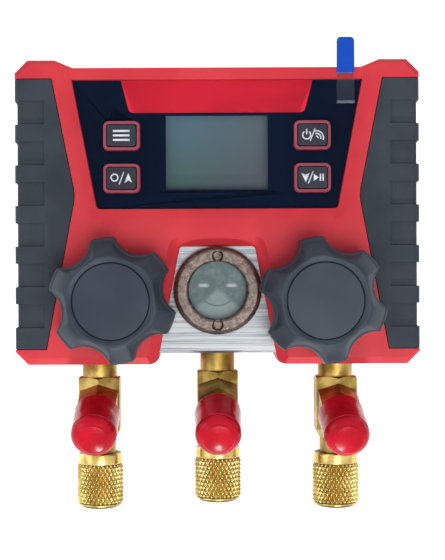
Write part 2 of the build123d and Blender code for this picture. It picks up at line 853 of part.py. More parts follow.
# ---------------------------------------------------------------- sight glass
with BuildPart() as sight_ring:
    ring_foot_z = block_front_z + sight_ring_foot_height
    ring_step_z = (ring_foot_z + ring_top_z) / 2
    turn([
        (sight_ring_bore, ring_top_z),
        (sight_ring_top_radius, ring_top_z),
        (sight_ring_radius, ring_step_z),
        (sight_ring_radius, ring_foot_z),
        (sight_ring_foot_radius, ring_foot_z),
        (sight_ring_foot_radius, block_front_z),
        (sight_ring_thread_radius, block_front_z),
        (sight_ring_thread_radius, block_front_z - sight_ring_thread_length),
        (sight_glass_radius + screw_clearance, block_front_z - sight_ring_thread_length),
        (sight_glass_radius + screw_clearance, glass_top_z),
        (sight_ring_bore, glass_top_z),
    ], sight_plane)
    notch_ring = (sight_ring_bore + sight_ring_top_radius) / 2
    with BuildSketch(Plane.XY.offset(ring_top_z - spanner_notch_depth)):
        with Locations((0, sight_y + notch_ring), (0, sight_y - notch_ring)):
            Circle(spanner_notch_radius)
    extrude(amount=spanner_notch_depth, mode=Mode.SUBTRACT)
write(sight_ring, "sight_ring")

with BuildPart() as sight_glass:
    rod(sight_glass_radius, glass_bottom_z, glass_top_z, sight_plane)
write(sight_glass, "sight_glass")

with BuildPart() as sight_seal:
    with BuildSketch(Plane.XZ.offset(-sight_y)):
        with Locations((sight_glass_radius - sight_seal_radius, glass_bottom_z - sight_seal_radius)):
            Circle(sight_seal_radius)
    revolve(axis=Axis((0, sight_y, 0), (0, 0, 1)))
write(sight_seal, "sight_seal")

# ---------------------------------------------------------------- valves and handwheels
piston_top_z = valve_seat_z + piston_length
gland_top_z = block_front_z + gland_hex_height
wheel_base_z = gland_top_z + wheel_gap
wheel_top_z = wheel_base_z + wheel_height
inlay_z = wheel_top_z - inlay_inset - inlay_thickness
square_z = wheel_base_z + wheel_web / 2
web_z = square_z + stem_square_length
valley_reach = wheel_valley_radius + wheel_valley_arc
wheel_phases = {"left": left_wheel_phase, "right": right_wheel_phase}
for side_name, side in sides:
    valve_plane = Plane(origin=(side * valve_x, valve_y, 0))
    valve_axis = Axis(valve_plane.origin, (0, 0, 1))
    groove_z = valve_seat_z + piston_length / 2
    with BuildPart() as piston:
        groove_radius = piston_radius - 2 * piston_ring_radius
        turn([
            (0, valve_seat_z), (piston_radius, valve_seat_z),
            (piston_radius, groove_z - piston_ring_radius), (groove_radius, groove_z - piston_ring_radius),
            (groove_radius, groove_z + piston_ring_radius), (piston_radius, groove_z + piston_ring_radius),
            (piston_radius, piston_top_z), (0, piston_top_z),
        ], valve_plane)
    write(piston, f"{side_name}_piston")

    with BuildPart() as piston_ring:
        with BuildSketch(Plane.XZ.offset(-valve_y)):
            with Locations((side * valve_x + piston_radius - piston_ring_radius, groove_z)):
                Circle(piston_ring_radius)
        revolve(axis=valve_axis)
    write(piston_ring, f"{side_name}_piston_ring")

    with BuildPart() as gland:
        rod(gland_thread_radius, gland_floor_z, block_front_z, valve_plane)
        with BuildSketch(valve_plane.offset(block_front_z)):
            RegularPolygon(gland_hex_flats / 2, 6, major_radius=False)
        extrude(amount=gland_hex_height)
        rod(stem_radius + running_gap, gland_floor_z, gland_top_z, valve_plane, Mode.SUBTRACT)
    write(gland, f"{side_name}_gland")

    with BuildPart() as stem:
        rod(stem_radius, piston_top_z, square_z, valve_plane)
        with BuildSketch(valve_plane.offset(square_z)):
            Rectangle(stem_square, stem_square)
        extrude(amount=stem_square_length)
        rod(screw_radius + screw_clearance, web_z - stem_square_length, web_z, valve_plane, Mode.SUBTRACT)
    write(stem, f"{side_name}_stem")

    with BuildPart() as handwheel:
        with BuildSketch(valve_plane.offset(wheel_base_z)) as star:
            Circle(wheel_radius)
            with PolarLocations(valley_reach, wheel_lobes, wheel_phases[side_name] + 180 / wheel_lobes):
                Circle(wheel_valley_arc, mode=Mode.SUBTRACT)
            fillet(star.vertices(), wheel_lobe_fillet)
        extrude(amount=wheel_height)
        turn([
            (0, wheel_base_z), (wheel_radius - wheel_base_chamfer, wheel_base_z),
            (wheel_radius, wheel_base_z + wheel_base_chamfer), (wheel_radius, wheel_top_z - wheel_shoulder),
            (wheel_crown_radius, wheel_top_z), (0, wheel_top_z),
        ], valve_plane, Mode.INTERSECT)
        rod(inlay_radius + lens_gap, inlay_z, wheel_top_z, valve_plane, Mode.SUBTRACT)
        rod(inlay_radius - inlay_rim, web_z + wheel_web, inlay_z, valve_plane, Mode.SUBTRACT)
        rod(screw_radius + screw_clearance, web_z, web_z + wheel_web, valve_plane, Mode.SUBTRACT)
        rod(stem_radius + screw_clearance, wheel_base_z, square_z, valve_plane, Mode.SUBTRACT)
        with BuildSketch(valve_plane.offset(square_z)):
            Rectangle(stem_square + 2 * running_gap, stem_square + 2 * running_gap)
        extrude(amount=stem_square_length, mode=Mode.SUBTRACT)
    write(handwheel, f"{side_name}_handwheel")

    with BuildPart() as inlay:
        rod(inlay_radius, inlay_z, inlay_z + inlay_thickness, valve_plane)
        fillet(inlay.edges().group_by(Axis.Z)[-1], inlay_inset)
    write(inlay, f"{side_name}_wheel_inlay")

    with BuildPart() as wheel_screw:
        rod(screw_head_radius, web_z + wheel_web, web_z + wheel_web + screw_head_height, valve_plane)
        rod(screw_radius, web_z - stem_square_length + shell_wall, web_z + wheel_web, valve_plane)
    write(wheel_screw, f"{side_name}_wheel_screw")

# ---------------------------------------------------------------- hose tees and their caps
port_names = ("left", "centre", "right")
port_rises = (0.0, centre_port_rise, 0.0)
hex_turn = 360 / 6 / 2
hex_corner_radius = tee_hex_flats / 2 + tee_hex_chamfer / tan(radians(hex_turn))
hex_end = tee_neck_length + tee_hex_length
taper_end = hex_end + tee_taper_length
cap_start = taper_end + blank_cap_start
cap_end = cap_start + blank_cap_length
seal_start = cap_start + blank_cap_bore_length - cap_seal_thickness
branch_end = branch_collar_reach + branch_thread_length
vinyl_bore = port_thread_radius + vinyl_cap_gap


def tee_planes(port_x, rise, roll):
    """Planes of a tee's straight axis, pointing down, and of its tilted branch."""
    lean = radians(roll)
    side_dir = Vector(cos(lean), 0, -sin(lean))
    face_dir = Vector(sin(lean), 0, cos(lean))
    start = Vector(port_x, block_bottom_y + rise, port_z)
    straight = Plane(origin=start, x_dir=side_dir, z_dir=(0, -1, 0))
    tilt = radians(branch_angle)
    branch_dir = face_dir * cos(tilt) + Vector(0, -1, 0) * sin(tilt)
    branch = Plane(origin=start + Vector(0, -branch_offset, 0), x_dir=side_dir, z_dir=branch_dir)
    return straight, branch


core_planes = []
for port_name, port_x, rise, roll, vinyl_gap in zip(
        port_names, port_places, port_rises, tee_rolls, vinyl_cap_starts):
    straight, branch = tee_planes(port_x, rise, roll)
    core_planes.append(branch)
    with BuildPart() as tee:
        with BuildSketch(straight.offset(tee_neck_length)):
            RegularPolygon(tee_hex_flats / 2, 6, major_radius=False, rotation=hex_turn)
        extrude(amount=tee_hex_length)
        turn([
            (0, tee_neck_length), (tee_hex_flats / 2, tee_neck_length),
            (hex_corner_radius, tee_neck_length + tee_hex_chamfer),
            (hex_corner_radius, hex_end - tee_hex_chamfer), (tee_hex_flats / 2, hex_end), (0, hex_end),
        ], straight, Mode.INTERSECT)
        rod(tee_tail_radius, -tee_tail_length, rise, straight)
        rod(tee_neck_radius, rise, tee_neck_length, straight)
        turn([
            (0, hex_end), (tee_hex_flats / 2, hex_end), (port_thread_radius, taper_end),
            (port_thread_radius, seal_start), (0, seal_start),
        ], straight)
        with BuildSketch(branch):
            RegularPolygon(branch_collar_flats / 2, 6, major_radius=False, rotation=hex_turn)
        extrude(amount=branch_collar_reach)
        rod(port_thread_radius, branch_collar_reach, branch_end, branch)
        rod(tee_bore, -tee_tail_length, seal_start, straight, Mode.SUBTRACT)
        rod(tee_bore, 0, branch_end, branch, Mode.SUBTRACT)
    write(tee, f"{port_name}_tee")

    with BuildPart() as blank_cap:
        band_end = cap_start + blank_cap_band_length
        turn([
            (port_thread_radius + running_gap, cap_start), (blank_cap_band_radius, cap_start),
            (blank_cap_band_radius, band_end), (blank_cap_radius, band_end),
            (blank_cap_radius, cap_end - blank_cap_end_chamfer),
            (blank_cap_radius - blank_cap_end_chamfer, cap_end), (0, cap_end),
            (0, seal_start + cap_seal_thickness),
            (port_thread_radius + running_gap, seal_start + cap_seal_thickness),
        ], straight)
    write(blank_cap, f"{port_name}_blank_cap")

    with BuildPart() as cap_seal:
        rod(port_thread_radius - running_gap, seal_start, seal_start + cap_seal_thickness, straight)
    write(cap_seal, f"{port_name}_cap_seal")

    vinyl_start = branch_collar_reach + vinyl_gap
    with BuildPart() as vinyl_cap:
        rod(vinyl_cap_radius, vinyl_start, vinyl_start + vinyl_cap_length, branch)
        end_edge = vinyl_cap.edges().filter_by(GeomType.CIRCLE).sort_by(Axis(branch.origin, branch.z_dir))[-1]
        fillet(end_edge, vinyl_cap_end_radius)
        rod(vinyl_bore, vinyl_start, branch_end + vinyl_cap_gap, branch, Mode.SUBTRACT)
    write(vinyl_cap, f"{port_name}_vinyl_cap")

with BuildPart() as valve_cores:
    for branch in core_planes:
        rod(tee_bore - running_gap, branch_collar_reach, branch_end - tee_bore, branch)
write(valve_cores, "valve_cores")

with BuildPart() as pressure_sensors:
    for port_x in (-port_spacing, port_spacing):
        sensor_plane = Plane(origin=(port_x, block_top_y, port_z), x_dir=(1, 0, 0), z_dir=(0, 1, 0))
        rod(sensor_nose_radius, -sensor_nose_length, 0, sensor_plane)
        rod(sensor_radius, 0, sensor_length, sensor_plane)
write(pressure_sensors, "pressure_sensors")

# ---------------------------------------------------------------- bail and battery compartment
with BuildPart() as hanging_bail:
    bail_plane = Plane.XY.offset(bail_axis_z)
    with BuildLine(bail_plane) as bail_path:
        FilletPolyline(
            (-bail_half_width, bail_pivot_y), (-bail_half_width, bail_cross_y),
            (bail_half_width, bail_cross_y), (bail_half_width, bail_pivot_y),
            radius=bail_bend_radius,
        )
    with BuildSketch(Plane(origin=(-bail_half_width, bail_pivot_y, bail_axis_z), z_dir=(0, -1, 0))):
        Circle(bail_wire_radius)
    sweep(path=bail_path.wire())
    for side_name, side in sides:
        leg_end = Plane(origin=(side * bail_half_width, bail_pivot_y, bail_axis_z), z_dir=(side, 0, 0))
        rod(bail_wire_radius, -bail_wire_radius, bail_wire_radius, leg_end)
        rod(bail_pin_radius, 0, channel_half + bail_pin_length - screw_clearance, leg_end)
write(hanging_bail, "hanging_bail")

with BuildPart() as battery_door:
    with BuildSketch(Plane.XY.offset(door_inset)):
        with Locations((0, compartment_mid_y)):
            Rectangle(door_width, door_length)
    extrude(amount=door_thickness)
    with BuildSketch(Plane.XY.offset(door_inset)):
        with Locations((0, door_bottom_y + 2 * bail_wire_radius)):
            SlotOverall(cell_pitch, bail_wire_radius)
    extrude(amount=door_thickness / 2, mode=Mode.SUBTRACT)
write(battery_door, "battery_door")

cell_xs = [(index - (cell_count - 1) / 2) * cell_pitch for index in range(cell_count)]
with BuildPart() as batteries:
    for cell_x in cell_xs:
        cell_plane = Plane(origin=(cell_x, cell_start_y, cell_axis_z), x_dir=(1, 0, 0), z_dir=(0, 1, 0))
        rod(cell_radius, 0, cell_length, cell_plane)
        rod(cell_tip_radius, cell_length, cell_length + cell_tip_length, cell_plane)
write(batteries, "batteries")

with BuildPart() as battery_contacts:
    for contact_y in (cell_start_y - contact_thickness, cell_start_y + cell_length + cell_tip_length):
        contact_plane = Plane(origin=(0, contact_y, cell_axis_z), x_dir=(1, 0, 0), z_dir=(0, 1, 0))
        with BuildSketch(contact_plane):
            with Locations(*[(cell_x, 0) for cell_x in cell_xs]):
                Rectangle(contact_width, contact_width)
        extrude(amount=contact_thickness)
write(battery_contacts, "battery_contacts")

# ---------------------------------------------------------------- fasteners
with BuildPart() as housing_screws:
    head_z = rear_depth - housing_screw_reach
    for screw_place in housing_screw_places:
        screw_plane = Plane(origin=(*screw_place, 0))
        rod(screw_head_radius, head_z - screw_head_height, head_z, screw_plane)
        rod(screw_radius, head_z, rear_depth + housing_screw_reach, screw_plane)
write(housing_screws, "housing_screws")

with BuildPart() as block_screws:
    head_z = door_inset + screw_head_height
    for screw_place in block_screw_places:
        screw_plane = Plane(origin=(*screw_place, 0))
        rod(screw_head_radius, door_inset, head_z, screw_plane)
        rod(screw_radius, head_z, block_back_z + block_screw_bite, screw_plane)
write(block_screws, "block_screws")

with BuildPart() as board_screws:
    for screw_place in board_screw_places:
        screw_plane = Plane(origin=(*screw_place, 0))
        rod(2 * board_screw_radius, board_z - board_screw_radius, board_z, screw_plane)
        rod(board_screw_radius, board_z, board_z + board_thickness + board_screw_bite - screw_clearance,
            screw_plane)
write(board_screws, "board_screws")

# ---------------------------------------------------------------- pull tab of the screen film
strip_z = front_z - top_strip_drop
with BuildPart() as film_tab:
    ramp = lens_gap + tab_thickness
    foot_y = lens_top_y - tab_foot
    tip_y = top_y + tab_overhang
    with BuildSketch(Plane.YZ.offset(tab_centre_x - tab_width / 2)):
        with BuildLine():
            Polyline(
                (foot_y, lens_front_z), (lens_top_y - ramp, lens_front_z), (lens_top_y, strip_z),
                (tip_y, strip_z), (tip_y, strip_z + tab_thickness),
                (lens_top_y - ramp, strip_z + tab_thickness),
                (lens_top_y - 2 * ramp, lens_front_z + tab_thickness),
                (foot_y, lens_front_z + tab_thickness),
                close=True,
            )
        make_face()
    extrude(amount=tab_width)
    fillet(film_tab.edges().filter_by(Axis.Z).group_by(Axis.Y)[-1], tab_corner)
write(film_tab, "film_tab")
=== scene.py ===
"""Dresses a digital two-valve refrigerant manifold, lying on its back on a pale bench."""

import json
from math import cos, pi, radians, sin, tau

import bpy
import numpy as np
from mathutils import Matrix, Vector


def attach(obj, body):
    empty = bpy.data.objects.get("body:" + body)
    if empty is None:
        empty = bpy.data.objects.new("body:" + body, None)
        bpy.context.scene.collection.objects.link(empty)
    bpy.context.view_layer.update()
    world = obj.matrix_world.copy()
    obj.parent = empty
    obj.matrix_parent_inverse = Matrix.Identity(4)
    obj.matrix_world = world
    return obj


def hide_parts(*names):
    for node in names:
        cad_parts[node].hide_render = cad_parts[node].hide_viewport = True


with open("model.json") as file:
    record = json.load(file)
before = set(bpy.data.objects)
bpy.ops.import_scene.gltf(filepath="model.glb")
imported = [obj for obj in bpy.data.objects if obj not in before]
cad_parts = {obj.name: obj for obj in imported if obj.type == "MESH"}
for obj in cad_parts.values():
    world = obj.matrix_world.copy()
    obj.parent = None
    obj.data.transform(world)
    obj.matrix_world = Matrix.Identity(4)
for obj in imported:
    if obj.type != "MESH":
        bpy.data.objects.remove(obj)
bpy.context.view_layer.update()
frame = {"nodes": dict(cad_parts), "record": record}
nodes = frame["nodes"]
MM = 0.001
SIDES = ("left", "right")
PORTS = ("left", "centre", "right")

# ---------------------------------------------------------------- shared places, in mm
PORT_PITCH = 40.9
PORT_Z = 22.0
BLOCK_BOTTOM = -47.4
SIGHT_Y = BLOCK_BOTTOM + 21.1
SCREEN_Y = 19.9
SCREEN_HALF_WIDTH = 17.0
SCREEN_HALF_HEIGHT = 12.3


# ---------------------------------------------------------------- camera, light and bench
CAMERA_PLACE = (-4.2 * MM, -21.1 * MM, 462 * MM)
CAMERA_ROLL = radians(-0.25)
FRAME_HEIGHT_PX = 560
FOCAL_PX = 1264.4
SENSOR_MM = 36.0
SHIFT_PX = (17.5, -5.0)
LAMP_TARGET = (0, 0, 0.03)
WARM_WHITE = (1.0, 0.985, 0.96)
COOL_WHITE = (0.93, 0.96, 1.0)
LAMPS = (
    # name, place in m, width and height in m, power in W, colour
    ("key_light", (0.14, -0.34, 1.0), (0.55, 0.5), 5.6, WARM_WHITE),
    ("front_light", (0.02, -1.05, 0.42), (0.10, 0.08), 4.6, WARM_WHITE),
    ("side_light", (-0.9, 0.15, 0.55), (0.5, 0.6), 2.0, COOL_WHITE),
)


def place_camera():
    """Camera above the display, with the small shift of an off-centre crop."""
    data = bpy.data.cameras.new("camera")
    data.sensor_fit = "VERTICAL"
    data.sensor_height = SENSOR_MM
    data.lens = FOCAL_PX / FRAME_HEIGHT_PX * SENSOR_MM
    data.shift_x = SHIFT_PX[0] / FRAME_HEIGHT_PX
    data.shift_y = SHIFT_PX[1] / FRAME_HEIGHT_PX
    data.clip_start = 0.01
    data.clip_end = 50.0
    camera = bpy.data.objects.new("camera", data)
    bpy.context.scene.collection.objects.link(camera)
    camera.location = CAMERA_PLACE
    camera.rotation_euler = (0.0, 0.0, CAMERA_ROLL)
    bpy.context.scene.camera = camera


def area_light(name, place, size, power, colour):
    """Rectangular soft box that faces the object."""
    data = bpy.data.lights.new(name, "AREA")
    data.shape = "RECTANGLE"
    data.size, data.size_y = size
    data.energy = power
    data.color = colour
    lamp = bpy.data.objects.new(name, data)
    bpy.context.scene.collection.objects.link(lamp)
    lamp.location = place
    aim = Vector(LAMP_TARGET) - Vector(place)
    lamp.rotation_euler = aim.to_track_quat("-Z", "Y").to_euler()


place_camera()
bpy.context.scene.view_settings.view_transform = "Standard"
for lamp_values in LAMPS:
    area_light(*lamp_values)


# ---------------------------------------------------------------- shader arithmetic
class Value:
    """A number on a shader socket: arithmetic on it adds Math nodes."""

    def __init__(self, finish, socket):
        self.finish = finish
        self.socket = socket

    def math(self, operation, *operands):
        return self.finish.make("ShaderNodeMath", {"operation": operation}, operands)

    def __add__(self, other):
        return self.math("ADD", self, other)

    def __sub__(self, other):
        return self.math("SUBTRACT", self, other)

    def __mul__(self, other):
        return self.math("MULTIPLY", self, other)

    def __truediv__(self, other):
        return self.math("DIVIDE", self, other)

    def __rsub__(self, other):
        return self.math("SUBTRACT", other, self)

    def __neg__(self):
        return self.math("MULTIPLY", self, -1.0)

    __radd__ = __add__
    __rmul__ = __mul__

    def of(self, operation, *others):
        """Any one-line Math function of this value, such as SINE or MINIMUM."""
        return self.math(operation, self, *others)

    def step(self, low, high):
        """0 below low, 1 above high, and smooth between them."""
        return self.finish.make(
            "ShaderNodeMapRange", {"interpolation_type": "SMOOTHSTEP"},
            {"Value": self, "From Min": low, "From Max": high},
        )


class Finish:
    """A material being made: one Principled shader and the nodes that drive it."""

    def __init__(self, name, **constants):
        self.material = bpy.data.materials.new(name)
        self.material.use_nodes = True
        self.tree = self.material.node_tree
        self.shader = self.tree.nodes["Principled BSDF"]
        self.output = self.tree.nodes["Material Output"]
        for socket, value in constants.items():
            self.shader.inputs[socket.replace("_", " ")].default_value = value

    def make(self, kind, settings=None, values=(), output=0):
        """Add a node: its settings first, then its inputs by name or by place."""
        node = self.tree.nodes.new(kind)
        for key, setting in (settings or {}).items():
            setattr(node, key, setting)
        pairs = values.items() if isinstance(values, dict) else enumerate(values)
        for key, value in pairs:
            if isinstance(value, Value):
                self.tree.links.new(value.socket, node.inputs[key])
            else:
                node.inputs[key].default_value = value
        return Value(self, node.outputs[output])

    def place(self, scale=(1, 1, 1), offset=(0, 0, 0)):
        """Object coordinates, centred and stretched."""
        coords = self.make("ShaderNodeTexCoord", output="Object")
        return self.make(
            "ShaderNodeMapping", {"vector_type": "POINT"},
            {"Vector": coords, "Location": offset, "Scale": scale},
        )

    def axes(self, offset=(0, 0, 0)):
        """The three object coordinates as separate values."""
        spot = self.place(offset=offset)
        return [
            self.make("ShaderNodeSeparateXYZ", values=[spot], output=index) for index in range(3)
        ]

    def noise(self, scale, detail=3.0, stretch=(1, 1, 1), roughness=0.55):
        """Cloudy value about one half, with scale clouds in a metre."""
        return self.make(
            "ShaderNodeTexNoise", None,
            {"Vector": self.place(stretch), "Scale": scale, "Detail": detail,
             "Roughness": roughness, "Distortion": 0.0},
        )

    def mix(self, factor, low, high):
        """Colour mix of two colours or colour links."""
        colours = [(*c, 1.0) if isinstance(c, tuple) else c for c in (low, high)]
        return self.make(
            "ShaderNodeMix", {"data_type": "RGBA", "blend_type": "MIX"},
            {0: factor, 6: colours[0], 7: colours[1]}, output=2,
        )

    def drive(self, socket, value):
        """Feed one socket of the shader."""
        self.tree.links.new(value.socket, self.shader.inputs[socket])
        return self

    def bump(self, height, distance, strength=1.0):
        """Raise the surface by height times distance, in metres."""
        relief = self.make(
            "ShaderNodeBump", None, {"Height": height, "Distance": distance, "Strength": strength})
        return self.drive("Normal", relief)

    def see_through(self, factor):
        """Mix with a transparent shader: factor 1 shows this finish whole."""
        clear = self.tree.nodes.new("ShaderNodeBsdfTransparent")
        blend = self.tree.nodes.new("ShaderNodeMixShader")
        self.tree.links.new(factor.socket, blend.inputs[0])
        self.tree.links.new(clear.outputs[0], blend.inputs[1])
        self.tree.links.new(self.shader.outputs[0], blend.inputs[2])
        self.tree.links.new(blend.outputs[0], self.output.inputs[0])
        return self


# ---------------------------------------------------------------- bench and background
BENCH_SIZE = 3.0
BENCH_DARK = (0.84, 0.84, 0.835)
BENCH_PALE = (0.88, 0.88, 0.875)
PLAIN_WHITE = (1.0, 1.0, 1.0, 1.0)
SKY_COLOUR = (0.80, 0.84, 0.90)
SKY_STRENGTH = 0.62
BENCH_GLOW = 0.72


def seen_directly(tree):
    """1 for camera, mirror and see-through rays, so that they meet the pale background."""
    path = tree.nodes.new("ShaderNodeLightPath")
    total = path.outputs["Is Camera Ray"]
    for ray in ("Is Glossy Ray", "Is Transmission Ray"):
        join = tree.nodes.new("ShaderNodeMath")
        join.operation = "MAXIMUM"
        tree.links.new(total, join.inputs[0])
        tree.links.new(path.outputs[ray], join.inputs[1])
        total = join.outputs[0]
    return total


def make_sky():
    """Even pale light from all round; plain white where the camera sees it."""
    world = bpy.data.worlds.new("studio")
    bpy.context.scene.world = world
    world.use_nodes = True
    tree = world.node_tree
    light = tree.nodes["Background"]
    light.inputs["Color"].default_value = (*SKY_COLOUR, 1.0)
    light.inputs["Strength"].default_value = SKY_STRENGTH
    white = tree.nodes.new("ShaderNodeBackground")
    white.inputs["Color"].default_value = PLAIN_WHITE
    blend = tree.nodes.new("ShaderNodeMixShader")
    tree.links.new(seen_directly(tree), blend.inputs[0])
    tree.links.new(light.outputs[0], blend.inputs[1])
    tree.links.new(white.outputs[0], blend.inputs[2])
    tree.links.new(blend.outputs[0], tree.nodes["World Output"].inputs[0])


def make_bench():
    """Pale bench top that stays white where it is lit and keeps a soft shadow."""
    half = BENCH_SIZE / 2
    mesh = bpy.data.meshes.new("bench_top")
    corners = [(-half, -half, 0), (half, -half, 0), (half, half, 0), (-half, half, 0)]
    mesh.from_pydata(corners, [], [(0, 1, 2, 3)])
    bench = bpy.data.objects.new("bench_top", mesh)
    bpy.context.scene.collection.objects.link(bench)
    finish = Finish("bench_paint", Roughness=0.9, Specular_IOR_Level=0.1)
    grain = finish.noise(60.0, 2.0)
    finish.drive("Base Color", finish.mix(grain, BENCH_DARK, BENCH_PALE))
    glow = finish.tree.nodes.new("ShaderNodeEmission")
    glow.inputs["Color"].default_value = PLAIN_WHITE
    glow.inputs["Strength"].default_value = BENCH_GLOW
    both = finish.tree.nodes.new("ShaderNodeAddShader")
    finish.tree.links.new(finish.shader.outputs[0], both.inputs[0])
    finish.tree.links.new(glow.outputs[0], both.inputs[1])
    blend = finish.tree.nodes.new("ShaderNodeMixShader")
    finish.tree.links.new(seen_directly(finish.tree), blend.inputs[0])
    finish.tree.links.new(finish.shader.outputs[0], blend.inputs[1])
    finish.tree.links.new(both.outputs[0], blend.inputs[2])
    finish.tree.links.new(blend.outputs[0], finish.output.inputs[0])
    mesh.materials.append(finish.material)


make_sky()
make_bench()


# ---------------------------------------------------------------- finishes
MOULDED_GRAIN = 0.02 * MM
WHEEL_GRAIN = 0.015 * MM
RUBBER_GRAIN = 0.03 * MM
FORGED_GRAIN = 0.04 * MM
BRUSH_RELIEF = 0.05 * MM
RING_RELIEF = 0.04 * MM
VINYL_RELIEF = 0.25 * MM
GROOVE_RADIUS = 7.0 * MM
CREST_RADIUS = 7.6 * MM
TAB_FOOT_END = 37.0 * MM
TAB_BLUE_START = 46.2 * MM
PRINT_FADE = 0.3 * MM


def red_plastic(name="red_moulding", base=(0.66, 0.045, 0.058), shade=(0.59, 0.034, 0.048)):
    """Satin moulded plastic: faint mottling and a fine spark-eroded grain."""
    finish = Finish(name, Specular_IOR_Level=0.16)
    cloud = finish.noise(38.0, 3.0)
    finish.drive("Base Color", finish.mix(cloud.step(0.35, 0.65), shade, base))
    grain = finish.noise(2600.0, 2.0)
    finish.drive("Roughness", 0.36 + grain * 0.14)
    return finish.bump(grain, MOULDED_GRAIN, 0.5).material


def grip_rubber():
    """Soft dark rubber, slightly mottled, with a fine matt grain."""
    finish = Finish("grip_rubber", Specular_IOR_Level=0.25)
    cloud = finish.noise(55.0, 4.0)
    finish.drive(
        "Base Color", finish.mix(cloud.step(0.3, 0.7), (0.021, 0.028, 0.039), (0.035, 0.043, 0.056)))
    grain = finish.noise(1900.0, 2.0)
    finish.drive("Roughness", 0.56 + grain * 0.2)
    return finish.bump(grain, RUBBER_GRAIN, 0.7).material


def black_plastic(name, low, high, rough):
    """Moulded plastic with a faint drift between two colours and a fine grain."""
    finish = Finish(name, Specular_IOR_Level=0.25)
    cloud = finish.noise(70.0, 3.0)
    finish.drive("Base Color", finish.mix(cloud.step(0.3, 0.7), low, high))
    grain = finish.noise(2400.0, 2.0)
    finish.drive("Roughness", rough - 0.06 + grain * 0.12)
    return finish.bump(grain, WHEEL_GRAIN, 0.5).material


def plain_metal(name, low, high, rough):
    """Bright metal with a mottled sheen."""
    finish = Finish(name, Metallic=1.0)
    cloud = finish.noise(300.0, 4.0)
    finish.drive("Base Color", finish.mix(cloud.step(0.3, 0.7), low, high))
    finish.drive("Roughness", rough - 0.08 + cloud * 0.16)
    return finish.material


def brushed_aluminium():
    """Milled block: long brush lines along X, broken into short strokes."""
    finish = Finish("brushed_aluminium", Metallic=0.9)
    lines = finish.noise(900.0, 4.0, stretch=(0.012, 1.0, 1.0), roughness=0.7)
    strokes = finish.noise(260.0, 3.0, stretch=(0.05, 1.0, 1.0))
    mark = lines.step(0.38, 0.62) * 0.75 + strokes.step(0.35, 0.7) * 0.25
    finish.drive("Base Color", finish.mix(mark, (0.13, 0.15, 0.17), (0.42, 0.44, 0.46)))
    finish.drive("Roughness", 0.36 + mark * 0.18)
    return finish.bump(mark, BRUSH_RELIEF, 0.8).material


def port_brass(name="port_brass", forged=0.0):
    """Brass with warm tarnish; forged 1 makes it duller and grainier than forged 0."""
    finish = Finish(name, Metallic=1.0)
    tarnish = finish.noise(160.0, 4.0)
    finish.drive(
        "Base Color", finish.mix(tarnish.step(0.35, 0.7), (0.24, 0.15, 0.030), (0.52, 0.38, 0.12)))
    grain = finish.noise(1500.0, 3.0)
    finish.drive("Roughness", 0.20 + 0.12 * forged + grain * 0.18)
    return finish.bump(grain, MOULDED_GRAIN + FORGED_GRAIN * forged, 0.6).material


def knurled_brass():
    """Brass of the blanking caps: bright on the diamonds, with painted shade, dark brown, in the grooves.

    The caps stand PORT_PITCH apart, so x wrapped to that pitch gives the sideways distance
    from the nearest axis. The grooves are what lies close to the axis. Ten pitches are added
    to keep the wrapped value positive, and half of one puts the axis in its middle.
    """
    finish = Finish("knurled_brass", Metallic=1.0)
    x, y, z = finish.axes()
    pitches = x / (PORT_PITCH * MM) + 10.5
    off = (pitches.of("FRACT") - 0.5) * (PORT_PITCH * MM)
    rise = z - PORT_Z * MM
    reach = (off * off + rise * rise).of("SQRT")
    # painted shade: the colour turns dark brown close to the axis, inside GROOVE_RADIUS, and the shade
    # fades out by CREST_RADIUS
    out_of_groove_shade = reach.step(GROOVE_RADIUS, CREST_RADIUS)
    tarnish = finish.noise(160.0, 4.0)
    bright = finish.mix(tarnish.step(0.35, 0.7), (0.52, 0.36, 0.095), (0.78, 0.60, 0.22))
    finish.drive("Base Color", finish.mix(out_of_groove_shade, (0.07, 0.038, 0.009), bright))
    finish.drive("Roughness", 0.42 - out_of_groove_shade * 0.18)
    return finish.material


def red_vinyl():
    """Shiny dipped vinyl, slightly uneven."""
    finish = Finish("red_vinyl", Specular_IOR_Level=0.14)
    cloud = finish.noise(120.0, 3.0)
    finish.drive(
        "Base Color", finish.mix(cloud.step(0.3, 0.7), (0.40, 0.003, 0.012), (0.56, 0.006, 0.022)))
    wave = finish.noise(220.0, 2.0)
    finish.drive("Roughness", 0.16 + cloud * 0.10)
    return finish.bump(wave, VINYL_RELIEF, 0.5).material


def clear_lens():
    """Hard acrylic: clear, with a polished surface and faint dust."""
    finish = Finish("clear_lens", Base_Color=(0.012, 0.016, 0.04, 1.0), Specular_IOR_Level=0.2)
    dust = finish.noise(900.0, 2.0).step(0.66, 0.78)
    finish.drive("Roughness", 0.04 + dust * 0.3)
    return finish.see_through(dust * 0.02 + 0.015).material


def printed_black():
    """Matt black print behind the lens, with a blue cast."""
    finish = Finish("black_print", Roughness=0.5, Specular_IOR_Level=0.0)
    cloud = finish.noise(25.0, 2.0)
    finish.drive("Base Color", finish.mix(cloud, (0.005, 0.007, 0.014), (0.007, 0.015, 0.042)))
    return finish.material


